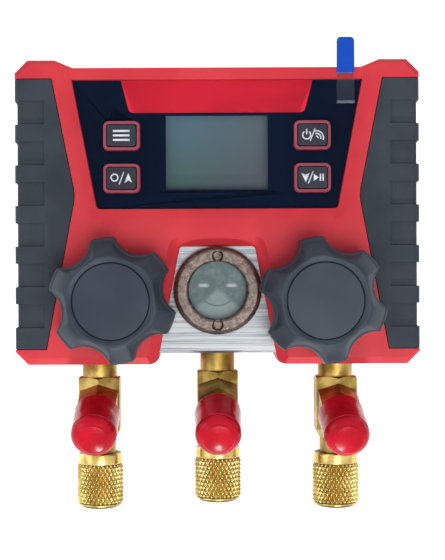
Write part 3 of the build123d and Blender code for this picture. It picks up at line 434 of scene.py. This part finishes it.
def screen_glass():
    """Unlit liquid crystal: grey-blue, greener at the lower left, with a painted shadow along the lower
    edge and a little darker towards the right edge.
    """
    half_width, half_height = SCREEN_HALF_WIDTH * MM, SCREEN_HALF_HEIGHT * MM
    finish = Finish("screen_glass", Roughness=0.3, Specular_IOR_Level=0.1)
    x, y, z = finish.axes(offset=(0, -SCREEN_Y * MM, 0))
    across = x.step(-half_width, half_width)
    up = y.step(-half_height, half_height)
    lower = finish.mix(across, (0.062, 0.115, 0.105), (0.085, 0.095, 0.12))
    upper = finish.mix(across, (0.080, 0.145, 0.185), (0.095, 0.125, 0.14))
    face = finish.mix(up, lower, upper)
    # painted shadow: the colour falls to a near-black blue in the lowest 2.7 mm, and up to a quarter of
    # the way to it near the right edge
    foot = y.step(-half_height, 2.7 * MM - half_height)
    right_edge = (x + 3.5 * MM - half_width).step(0.0, 3.0 * MM)
    outside_painted_shadow = foot * (1.0 - right_edge * 0.25)
    finish.drive("Base Color", finish.mix(outside_painted_shadow, (0.035, 0.055, 0.07), face))
    return finish.material


def sight_glass_finish():
    """Thick grey-green glass: a paler fan below, a fine arc in it and two bright glints above.

    With x and y from the glass's centre, the fan is where x stays within a slope of y, the
    arc is a thin band of a circle, and the glints are short bars on both sides of the centre.
    """
    finish = Finish("sight_glass", Roughness=0.06)
    x, y, z = finish.axes(offset=(0, -SIGHT_Y * MM, 0))
    wide = x.of("ABSOLUTE")
    smear = finish.noise(420.0, 4.0).step(0.4, 0.7)
    fan = (-y * 1.15 - wide + 1.5 * MM).step(-0.6 * MM, 2.4 * MM)
    rise = y - 1.5 * MM
    reach = (x * x + rise * rise).of("SQRT")
    arc = 1.0 - (reach - 6.6 * MM).of("ABSOLUTE").step(0.1 * MM, 0.35 * MM)
    glint = 1.0 - (y - 1.7 * MM).of("ABSOLUTE").step(0.15 * MM, 0.9 * MM)
    glint = glint * (1.0 - (wide - 4.7 * MM).of("ABSOLUTE").step(0.7 * MM, 2.4 * MM))
    body = finish.mix(smear, (0.15, 0.215, 0.215), (0.22, 0.30, 0.30))
    body = finish.mix(fan * 0.55, body, (0.40, 0.48, 0.47))
    body = finish.mix(arc * fan * 0.7, body, (0.10, 0.14, 0.15))
    finish.drive("Base Color", finish.mix(glint * 0.6, body, (0.80, 0.84, 0.83)))
    return finish.see_through(0.78 + fan * 0.1 + glint * 0.1).material


def film_tab_finish():
    """Blue pull tab that turns into a clear foot where it sticks to the lens."""
    finish = Finish("film_tab", Roughness=0.3, Specular_IOR_Level=0.2)
    x, y, z = finish.axes()
    blue = y.step(TAB_BLUE_START, TAB_BLUE_START + PRINT_FADE)
    cloud = finish.noise(300.0, 2.0)
    film = finish.mix(cloud, (0.0, 0.055, 0.42), (0.0, 0.075, 0.50))
    lip = 1.0 - y.step(TAB_FOOT_END, TAB_FOOT_END + PRINT_FADE)
    finish.drive("Base Color", finish.mix(blue, (0.65, 0.68, 0.74), film))
    return finish.see_through(blue * 0.95 + lip * 0.1 + 0.02).material


def nickel_ring():
    """Tarnished plating, brown-grey with pale and dark specks."""
    finish = Finish("nickel_ring", Metallic=0.85)
    cloud = finish.noise(420.0, 5.0, roughness=0.7)
    fleck = finish.noise(1500.0, 3.0).step(0.52, 0.7)
    base = finish.mix(cloud.step(0.35, 0.65), (0.075, 0.052, 0.044), (0.18, 0.145, 0.13))
    finish.drive("Base Color", finish.mix(fleck * 0.6, base, (0.32, 0.27, 0.24)))
    finish.drive("Roughness", 0.3 + cloud * 0.25)
    return finish.bump(cloud, RING_RELIEF, 0.5).material


SLOT_FINISHES = {
    "red_housing": red_plastic(),
    "soft_grip": grip_rubber(),
    "clear_lens": clear_lens(),
    "black_print": printed_black(),
    "screen_glass": screen_glass(),
    "white_diffuser": black_plastic("white_diffuser", (0.80, 0.80, 0.77), (0.86, 0.86, 0.83), 0.5),
    "board_green": black_plastic("board_green", (0.015, 0.12, 0.05), (0.03, 0.18, 0.08), 0.4),
    "key_plastic": black_plastic("key_plastic", (0.014, 0.018, 0.030), (0.022, 0.027, 0.040), 0.42),
    "key_trim": red_plastic("key_trim", (0.36, 0.075, 0.11), (0.30, 0.06, 0.09)),
    "switch_black": black_plastic("switch_black", (0.02, 0.02, 0.02), (0.03, 0.03, 0.03), 0.5),
    "block_aluminium": brushed_aluminium(),
    "plain_steel": plain_metal("plain_steel", (0.50, 0.50, 0.51), (0.68, 0.68, 0.69), 0.32),
    "nickel_ring": nickel_ring(),
    "sight_glass": sight_glass_finish(),
    "seal_rubber": black_plastic("seal_rubber", (0.012, 0.012, 0.012), (0.02, 0.02, 0.02), 0.6),
    "battery_wrap": black_plastic("battery_wrap", (0.05, 0.06, 0.08), (0.09, 0.10, 0.12), 0.35),
    "black_door": black_plastic("black_door", (0.030, 0.034, 0.040), (0.045, 0.050, 0.058), 0.5),
    "film_blue": film_tab_finish(),
    "port_brass": port_brass(),
    "wheel_black": black_plastic("wheel_black", (0.020, 0.028, 0.041), (0.032, 0.042, 0.058), 0.46),
    "wheel_inlay": black_plastic("wheel_inlay", (0.015, 0.024, 0.040), (0.023, 0.034, 0.053), 0.36),
    "red_vinyl": red_vinyl(),
}
FORGED_BRASS = port_brass("forged_brass", 1.0)
KNURLED_BRASS = knurled_brass()
BADGE_RED = red_plastic("badge_red", (0.84, 0.018, 0.045), (0.78, 0.014, 0.040))


def finish_nodes():
    """Give each CAD node the finish of its material slot."""
    for subpart in frame["record"]["subparts"]:
        node = nodes[subpart["node"]]
        node.data.materials.clear()
        node.data.materials.append(SLOT_FINISHES[subpart["material_slot"]])
    nodes["badge_panel"].data.materials[0] = BADGE_RED
    for port in PORTS:
        nodes[f"{port}_tee"].data.materials[0] = FORGED_BRASS


# Nodes whose sharp edges are rounded, with the bevel's width; 0 smooths the shading alone.
SOFT_EDGES_MM = {
    "front_housing": 0.8, "rear_housing": 0.5, "left_grip": 0.35, "right_grip": 0.35,
    "left_tee": 0.4, "centre_tee": 0.4, "right_tee": 0.4, "manifold_block": 0.25,
    "key_surrounds": 0.25, "hanging_bail": 0.0, "battery_door": 0.3,
}
FLAT_NODES = ("display_lens", "display_mask", "badge_panel", "screen_panel", "circuit_board")
WELD_GAP = 1e-6
CREASE_ANGLE = radians(28)
BEVEL_STEPS = 3
FACE_AREA_WEIGHT = 100


def soften_nodes():
    """Round the sharp edges of the moulded and forged nodes, and keep flat faces evenly shaded.

    Each node is welded first. Then it is bevelled, or split at its edges if it is a flat sheet,
    and its normals are weighted by the area of the faces.
    """
    for name, width in {**SOFT_EDGES_MM, **dict.fromkeys(FLAT_NODES)}.items():
        node = nodes[name]
        node.modifiers.new("weld", "WELD").merge_threshold = WELD_GAP
        if width is None:
            node.modifiers.new("crisp_edge", "EDGE_SPLIT").split_angle = CREASE_ANGLE
        elif width:
            bevel = node.modifiers.new("soft_edge", "BEVEL")
            bevel.width = width * MM
            bevel.segments = BEVEL_STEPS
            bevel.limit_method = "ANGLE"
            bevel.angle_limit = CREASE_ANGLE
            bevel.use_clamp_overlap = True
        node.modifiers.new("flat_faces", "WEIGHTED_NORMAL").weight = FACE_AREA_WEIGHT


finish_nodes()
soften_nodes()


# ---------------------------------------------------------------- mesh makers
def add_piece(name, points, faces, finish, body, stands_for=()):
    """A smooth mesh piece at the origin that rides on a body and stands for its CAD nodes."""
    mesh = bpy.data.meshes.new(name)
    mesh.from_pydata([tuple(p) for p in points], [], [tuple(f) for f in faces])
    mesh.validate()
    mesh.shade_smooth()
    mesh.materials.append(finish)
    piece = bpy.data.objects.new(name, mesh)
    bpy.context.scene.collection.objects.link(piece)
    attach(piece, body)
    if stands_for:
        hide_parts(*stands_for)
    return piece


def ring_faces(rings, columns):
    """Quads between closed rings of points, as whole arrays."""
    row, column = np.meshgrid(np.arange(rings - 1), np.arange(columns), indexing="ij")
    here = row * columns + column
    beside = row * columns + (column + 1) % columns
    return np.stack([here, beside, beside + columns, here + columns], axis=-1).reshape(-1, 4)


def closed_rings(points):
    """Vertices and faces of stacked rings of points, closed at both ends by a pole each."""
    rings, columns, _ = points.shape
    faces = [tuple(face) for face in ring_faces(rings, columns).tolist()]
    flat = points.reshape(-1, 3)
    poles = np.stack([points[0].mean(axis=0), points[-1].mean(axis=0)])
    first, last = len(flat), len(flat) + 1
    end_row = (rings - 1) * columns
    for column in range(columns):
        after = (column + 1) % columns
        faces.append((first, after, column))
        faces.append((last, end_row + column, end_row + after))
    return np.vstack([flat, poles]), faces


def axis_frame(start, along, across):
    """Start of an axis and its three directions: across, the normal of both, and along."""
    along = Vector(along).normalized()
    across = Vector(across).normalized()
    return np.array(start), np.array(across), np.array(along.cross(across)), np.array(along)


def turned_points(profile, angles, axis, swell=None):
    """Surface of revolution: each profile point (radius, height) swept round the axis.

    Position is start + radius * (cos a * across + sin a * normal) + height * along, and swell
    adds its own amount to the radius at each point and angle.
    """
    start, across, normal, along = axis
    radius = np.array(profile)[:, 0][:, None] + np.zeros(len(angles))[None, :]
    height = np.array(profile)[:, 1][:, None] + np.zeros(len(angles))[None, :]
    if swell is not None:
        radius = radius + swell(height, angles[None, :])
    ray = np.cos(angles)[:, None] * across + np.sin(angles)[:, None] * normal
    return start + radius[..., None] * ray[None, :, :] + height[..., None] * along


def arc_points(centre, radius, start, end, steps):
    """Points of an arc in a (radius, height) profile, angles in degrees."""
    turn = np.radians(np.linspace(start, end, steps))
    return [(centre[0] + radius * cos(a), centre[1] + radius * sin(a)) for a in turn]


# ---------------------------------------------------------------- port axes
PORT_X = {"left": -PORT_PITCH, "centre": 0.0, "right": PORT_PITCH}
PORT_RISE = {"left": 0.0, "centre": 2.1, "right": 0.0}
PORT_ROLL = {"left": -0.2, "centre": -0.2, "right": 2.6}
BRANCH_OFFSET = 15.7
BRANCH_ANGLE = 22.5


def port_axis(port):
    """Straight axis of a tee, in millimetres, pointing down and away from the block."""
    roll = radians(PORT_ROLL[port])
    start = (PORT_X[port], BLOCK_BOTTOM + PORT_RISE[port], PORT_Z)
    return axis_frame(start, (0, -1, 0), (cos(roll), 0, -sin(roll)))


def branch_axis(port):
    """Axis of a tee's tilted branch, in millimetres."""
    roll, tilt = radians(PORT_ROLL[port]), radians(BRANCH_ANGLE)
    face = Vector((sin(roll), 0, cos(roll)))
    along = face * cos(tilt) + Vector((0, -sin(tilt), 0))
    start = (PORT_X[port], BLOCK_BOTTOM + PORT_RISE[port] - BRANCH_OFFSET, PORT_Z)
    return axis_frame(start, along, (cos(roll), 0, -sin(roll)))


# ---------------------------------------------------------------- knurled blanking caps
CAP_START = 35.1
CAP_LENGTH = 19.0
CAP_BORE = 5.55
CAP_BORE_LENGTH = 16.6
CAP_BAND_RADIUS = 7.6
CAP_BAND_LENGTH = 3.7
CAP_BAND_ROUND = 0.5
CAP_RADIUS = 8.0
CAP_END = 1.6
POLE_RADIUS = 0.2
KNURL_COLUMNS = 30
KNURL_ROW = 2.9
KNURL_DEPTH = 0.95
KNURL_STEPS = 10
KNURL_FLAT = 1.2
KNURL_RUNOUT = 0.5


def saw(value):
    """Triangle wave: 0 at whole numbers and 1 halfway between them."""
    return 1.0 - np.abs(2.0 * (value - np.floor(value)) - 1.0)


def knurled_cap(port):
    """Blanking cap: a turned shell whose barrel carries crossed V grooves.

    The pattern is the lower of two triangle waves that run along the two helices
    columns * angle / 2 pi + and - height / row. KNURL_FLAT cuts its crests off level, and it
    fades to the groove's depth at both ends of the barrel.
    """
    band_corner = CAP_BAND_RADIUS - CAP_BAND_ROUND
    bore_end = CAP_START + CAP_BORE_LENGTH
    cap_end = CAP_START + CAP_LENGTH
    barrel_start = CAP_START + CAP_BAND_LENGTH
    barrel_end = cap_end - CAP_END
    rows = int(round((barrel_end - barrel_start) / KNURL_ROW * KNURL_STEPS))
    barrel = [(CAP_RADIUS, h) for h in np.linspace(barrel_start, barrel_end, rows)]
    profile = [
        (POLE_RADIUS, bore_end), (CAP_BORE, bore_end),
        (CAP_BORE, CAP_START + 0.4), (CAP_BORE + 0.4, CAP_START), (band_corner, CAP_START),
        *arc_points((band_corner, CAP_START + CAP_BAND_ROUND), CAP_BAND_ROUND, -70, 0, 4),
        (CAP_BAND_RADIUS, barrel_start - 0.35), (CAP_BAND_RADIUS + 0.02, barrel_start - 0.05),
        *barrel,
        (CAP_RADIUS - 0.35, barrel_end + 0.25), (CAP_RADIUS - 1.0, barrel_end + 0.85),
        (CAP_RADIUS - 1.7, barrel_end + 1.3), (CAP_RADIUS - 2.6, barrel_end + 1.55),
        (CAP_RADIUS - 3.4, cap_end), (POLE_RADIUS, cap_end),
    ]
    angles = np.linspace(0, tau, KNURL_COLUMNS * KNURL_STEPS, endpoint=False)

    def knurl(height, angle):
        column = KNURL_COLUMNS * angle / tau
        row = (height - barrel_start) / KNURL_ROW
        pattern = np.minimum(saw(column + row), saw(column - row))
        ends = np.minimum((height - barrel_start) / KNURL_RUNOUT, (barrel_end - height) / KNURL_RUNOUT)
        inside = (height >= barrel_start) & (height <= barrel_end)
        relief = np.clip(pattern * KNURL_FLAT, 0, 1) * np.clip(ends, 0, 1)
        return np.where(inside, KNURL_DEPTH * (relief - 1.0), 0.0)

    points, faces = closed_rings(turned_points(profile, angles, port_axis(port), knurl) * MM)
    add_piece(f"{port}_knurled_cap", points, faces, KNURLED_BRASS, f"{port}_cap",
              [f"{port}_blank_cap"])


for port_name in PORTS:
    knurled_cap(port_name)


# ---------------------------------------------------------------- red vinyl caps
VINYL_START = {"left": 13.0, "centre": 17.0, "right": 13.8}
VINYL_LENGTH = 18.0
VINYL_RADIUS = 7.8
VINYL_BORE = 5.65
VINYL_TIP = 3.6
VINYL_TAPER = 0.15
VINYL_LIP = 0.6
VINYL_BORE_LIP = 0.5
VINYL_BORE_END = 26.75
VINYL_COLUMNS = 96
VINYL_BORE_RINGS = 6
DENT_DEPTH = 0.11
DENT_WAVES = 1.9
DENT_SEEDS = (0.4, 1.9, 3.1)


def vinyl_cap(port, seed):
    """Push-on cap: a turned shell with a rounded lip and tip, dented by three slow waves.

    The dents are products of sines of angle and height, shifted by the seed, and take up to
    twice DENT_DEPTH off the outside. The end is a shallow parabola of the radius.
    """
    start = VINYL_START[port]
    end = start + VINYL_LENGTH
    wall_start = start + 0.8
    wall_length = VINYL_LENGTH - VINYL_TIP - 0.9
    tip_centre = (VINYL_RADIUS - VINYL_TAPER - VINYL_TIP, end - VINYL_TIP - 0.7)
    profile = [
        (POLE_RADIUS, VINYL_BORE_END), (VINYL_BORE, VINYL_BORE_END), (VINYL_BORE, start + VINYL_BORE_LIP),
        *arc_points((VINYL_BORE + VINYL_BORE_LIP, start + VINYL_BORE_LIP), VINYL_BORE_LIP, 180, 270, 4),
        *arc_points((VINYL_RADIUS - VINYL_LIP, start + VINYL_LIP), VINYL_LIP, -90, 0, 5),
        *[(VINYL_RADIUS - VINYL_TAPER * t, wall_start + t * wall_length) for t in np.linspace(0, 1, 20)],
        *arc_points(tip_centre, VINYL_TIP, 0, 68, 12),
        *[(r, end - 0.02 - 0.021 * r * r) for r in np.linspace(5.2, POLE_RADIUS, 10)],
    ]
    angles = np.linspace(0, tau, VINYL_COLUMNS, endpoint=False)

    def dents(height, angle):
        body = np.clip((height - start) / 3.0, 0, 1)
        wave = (np.sin(2 * angle + seed) * np.sin(height * 0.45 + seed)
                + 0.6 * np.sin(3 * angle - 2 * seed) * np.sin(height * 0.8 - seed)
                + 0.3 * np.sin(5 * angle + height * 0.9))
        outside = (np.arange(height.shape[0]) >= VINYL_BORE_RINGS)[:, None]
        return np.where(outside, -DENT_DEPTH * body * (1 + wave / DENT_WAVES), 0.0)

    points, faces = closed_rings(turned_points(profile, angles, branch_axis(port), dents) * MM)
    add_piece(f"{port}_vinyl_sleeve", points, faces, SLOT_FINISHES["red_vinyl"], f"{port}_vinyl",
              [f"{port}_vinyl_cap"])


for port_name, dent_seed in zip(PORTS, DENT_SEEDS):
    vinyl_cap(port_name, dent_seed)


# ---------------------------------------------------------------- handwheels
VALVE_X = 34.4
VALVE_Y = BLOCK_BOTTOM + 18.0
WHEEL_BASE = 43.6
WHEEL_TOP = 59.6
WHEEL_RADIUS = 21.0
VALLEY_RADIUS = 16.7
VALLEY_ARC = 9.2
LOBES = 6
LOBE_PHASE = {"left": 99.0, "right": 101.0}
CROWN_RADIUS = 14.3
POCKET_RADIUS = 12.45
POCKET_FLOOR = 57.85
SHOULDER_DROP = 5.0
EDGE_RADIUS = 1.3
BASE_ROUND = 1.6
WALL_LEAN = 0.25
CORNER_BLEND = 1.1
WHEEL_COLUMNS = 432
WHEEL_POLE = 0.3


def smooth_min(a, b, blend):
    """Lower of two values, rounded where they cross."""
    h = np.clip(0.5 + 0.5 * (b - a) / blend, 0, 1)
    return b * (1 - h) + a * h - blend * h * (1 - h)


def lobed_radius(angle):
    """Outline of the wheel: a circle bitten by six arcs, with rounded corners.

    A bite is the near side of a circle of radius VALLEY_ARC whose centre lies at
    VALLEY_RADIUS + VALLEY_ARC, met by the ray at this angle.
    """
    pitch = tau / LOBES
    off = (angle + pitch / 2) % pitch - pitch / 2
    off = np.abs(np.abs(off) - pitch / 2)
    reach = VALLEY_RADIUS + VALLEY_ARC
    inside = np.clip(VALLEY_ARC ** 2 - (reach * np.sin(off)) ** 2, 0, None)
    bite = reach * np.cos(off) - np.sqrt(inside)
    return smooth_min(bite, np.full_like(bite, WHEEL_RADIUS), CORNER_BLEND)


def handwheel(side):
    """Six-lobed wheel: rings that run from its underside, up its wall and over its crown.

    On the sloping top a ring at share w has radius edge + (ridge - edge) * w, and its height
    closes on the crown's as (1 - w) to the power 1.35, so the valleys look scooped.
    """
    sign = -1 if side == "left" else 1
    angles = np.linspace(0, tau, WHEEL_COLUMNS, endpoint=False)
    outline = lobed_radius(angles - radians(LOBE_PHASE[side]))
    ridge = CROWN_RADIUS - 0.2 + 0.45 * (outline - VALLEY_RADIUS) / (WHEEL_RADIUS - VALLEY_RADIUS)
    full = np.ones_like(angles)
    slope = ((outline - ridge) / (WHEEL_RADIUS - CROWN_RADIUS)) ** 0.8
    shoulder = WHEEL_TOP - 1.1 - SHOULDER_DROP * slope
    rings = [(WHEEL_POLE * full, WHEEL_BASE * full), (outline - BASE_ROUND, WHEEL_BASE * full)]
    for share in np.linspace(0, 1, 5)[1:]:
        bend = share * pi / 2
        height = WHEEL_BASE + BASE_ROUND * (1 - cos(bend))
        rings.append((outline - BASE_ROUND * (1 - sin(bend)), height * full))
    low, high = WHEEL_BASE + BASE_ROUND, shoulder - EDGE_RADIUS
    for share in np.linspace(0, 1, 6)[1:]:
        rings.append((outline - WALL_LEAN * share, low + (high - low) * share))
    for share in np.linspace(0, 1, 6)[1:]:
        bend = share * pi / 2.6
        radius = outline - WALL_LEAN - EDGE_RADIUS * (1 - cos(bend))
        rings.append((radius, shoulder - EDGE_RADIUS * (1 - sin(bend))))
    edge_radius, edge_height = rings[-1]
    for share in np.linspace(0, 1, 14)[1:]:
        radius = edge_radius + (ridge - edge_radius) * share
        height = edge_height + (WHEEL_TOP - edge_height) * (1 - (1 - share) ** 1.35)
        rings.append((radius, height))
    rings += [
        (ridge - 0.5, WHEEL_TOP * full), (ridge - 0.9, (WHEEL_TOP - 0.12) * full),
        (13.0 * full, (WHEEL_TOP - 0.25) * full), (12.75 * full, (WHEEL_TOP - 0.3) * full),
        (POCKET_RADIUS * full, (WHEEL_TOP - 0.55) * full),
        (POCKET_RADIUS * full, POCKET_FLOOR * full), (WHEEL_POLE * full, POCKET_FLOOR * full),
    ]
    radius = np.array([r for r, h in rings])
    height = np.array([h for r, h in rings])
    points = np.stack([
        sign * VALVE_X + radius * np.cos(angles),
        VALVE_Y + radius * np.sin(angles),
        height,
    ], axis=-1)
    points, faces = closed_rings(points * MM)
    add_piece(f"{side}_lobed_wheel", points, faces, SLOT_FINISHES["wheel_black"],
              f"{side}_valve_stem", [f"{side}_handwheel"])


for side_name in SIDES:
    handwheel(side_name)


# ---------------------------------------------------------------- sight glass ring
RING_TOP = 40.6
RING_COLUMNS = 320
RING_PROFILE = [
    # radius and height, from the foot of the outside over the top to the bore
    (13.0, 31.4), (13.0, 36.0), (14.1, 36.02), (14.1, 36.9), (14.3, 37.0), (14.7, 37.05),
    (14.8, 37.2), (14.8, 38.0), (14.7, 38.2), (14.35, 38.35), (14.3, 38.75), (14.1, 39.0),
    (13.95, 39.9), (13.75, 40.35), (13.4, 40.55), (13.1, 40.6), (10.6, 40.6), (10.3, 40.5),
    (10.15, 40.3), (9.75, 40.0), (9.65, 39.7), (9.65, 36.5), (11.1, 36.5), (11.1, 31.4),
]
NOTCH_RING = 11.5
NOTCH_RADIUS = 1.8
NOTCH_DEPTH = 2.0
NOTCH_WALL = 0.25
TOP_STEPS = 14


def sight_ring():
    """Retaining ring: a turned profile with two round spanner pockets in its top face.

    A pocket lowers every point of the top within NOTCH_RADIUS of its centre by a smooth
    step of the distance.
    """
    fine = []
    for (r0, h0), (r1, h1) in zip(RING_PROFILE, RING_PROFILE[1:] + RING_PROFILE[:1]):
        on_top = h0 > 39.5 and abs(r1 - r0) > 1.5
        steps = TOP_STEPS if on_top else 1
        fine += [(r0 + (r1 - r0) * k / steps, h0 + (h1 - h0) * k / steps) for k in range(steps)]
    angles = np.linspace(0, tau, RING_COLUMNS, endpoint=False)
    points = turned_points(fine, angles, axis_frame((0, SIGHT_Y, 0), (0, 0, 1), (1, 0, 0)))
    for sign in (-1, 1):
        away = np.hypot(points[..., 0], points[..., 1] - SIGHT_Y - sign * NOTCH_RING)
        fall = np.clip((NOTCH_RADIUS - away) / NOTCH_WALL, 0, 1)
        top = points[..., 2] > RING_TOP - 0.8
        points[..., 2] -= np.where(top, NOTCH_DEPTH * fall, 0.0)
    faces = ring_faces(len(fine) + 1, RING_COLUMNS) % (len(fine) * RING_COLUMNS)
    add_piece("sight_ring_turned", points.reshape(-1, 3) * MM, faces.tolist(),
              SLOT_FINISHES["nickel_ring"], "housing", ["sight_ring"])


sight_ring()


# ---------------------------------------------------------------- key symbols
KEY_TOP = 39.3
SYMBOL_LIFT = 0.03
INK_THICKNESS = 0.045
KEY_X = 32.0
KEY_ROWS = (25.7, 11.4)


def white_ink():
    """White pad-printed ink."""
    finish = Finish("white_ink", Roughness=0.5)
    wear = finish.noise(900.0, 2.0)
    finish.drive("Base Color", finish.mix(wear, (0.74, 0.77, 0.80), (0.84, 0.87, 0.90)))
    return finish.material


WHITE_INK = white_ink()


def bar(x, y, width, height, slant=0.0):
    """Four corners of a bar; slant shifts its top sideways."""
    return [(x - width / 2 - slant, y - height / 2), (x + width / 2 - slant, y - height / 2),
            (x + width / 2 + slant, y + height / 2), (x - width / 2 + slant, y + height / 2)]


def arc_band(x, y, radius, width, start, end, steps=20):
    """Outline of an arc-shaped stroke, angles in degrees: out along one edge, back on the other."""
    outer = arc_points((x, y), radius + width / 2, start, end, steps)
    inner = arc_points((x, y), radius - width / 2, end, start, steps)
    return outer + inner


def print_symbols(key, body, shapes, centre):
    """Lay the printed outlines a hair above the key, as one mesh with a face for each."""
    points, faces = [], []
    for shape in shapes:
        first = len(points)
        points += [(centre[0] + x, centre[1] + y, KEY_TOP + SYMBOL_LIFT) for x, y in shape]
        faces.append(tuple(range(first, len(points))))
    piece = add_piece(f"{key}_symbol", np.array(points) * MM, faces, WHITE_INK, body)
    solid = piece.modifiers.new("ink", "SOLIDIFY")
    solid.thickness = INK_THICKNESS * MM
    solid.offset = -1.0


SLASH = bar(0.0, 0.0, 0.35, 4.2, 0.8)
SHIFTED_SLASH = bar(-0.7, 0.0, 0.35, 4.2, 0.8)
print_symbols("menu_key", "menu_button", [
    bar(0, 1.5, 5.6, 0.7), bar(0, 0.0, 5.6, 0.7), bar(0, -1.5, 5.6, 0.7)], (-KEY_X, KEY_ROWS[0]))
print_symbols("zero_key", "zero_button", [
    arc_band(-2.3, 0.2, 1.15, 0.45, 0, 358, 40), SLASH,
    [(2.3, 1.8), (3.6, -1.6), (2.3, -0.8), (1.0, -1.6)][::-1]], (-KEY_X, KEY_ROWS[1]))
print_symbols("power_key", "power_button", [
    arc_band(-2.0, -0.1, 1.35, 0.42, 125, 415, 30), bar(-2.0, 1.0, 0.42, 1.9), SLASH,
    arc_band(1.3, -1.0, 0.5, 0.4, -20, 110), arc_band(1.3, -1.0, 1.4, 0.4, -20, 110),
    arc_band(1.3, -1.0, 2.3, 0.4, -20, 110)], (KEY_X, KEY_ROWS[0]))
print_symbols("hold_key", "hold_button", [
    [(-3.9, 1.5), (-2.5, 0.9), (-1.1, 1.5), (-2.3, -1.7)][::-1], SHIFTED_SLASH,
    [(0.3, 1.2), (0.3, -1.2), (2.0, 0.0)], bar(2.55, 0, 0.5, 2.4), bar(3.45, 0, 0.5, 2.4)],
    (KEY_X, KEY_ROWS[1]))
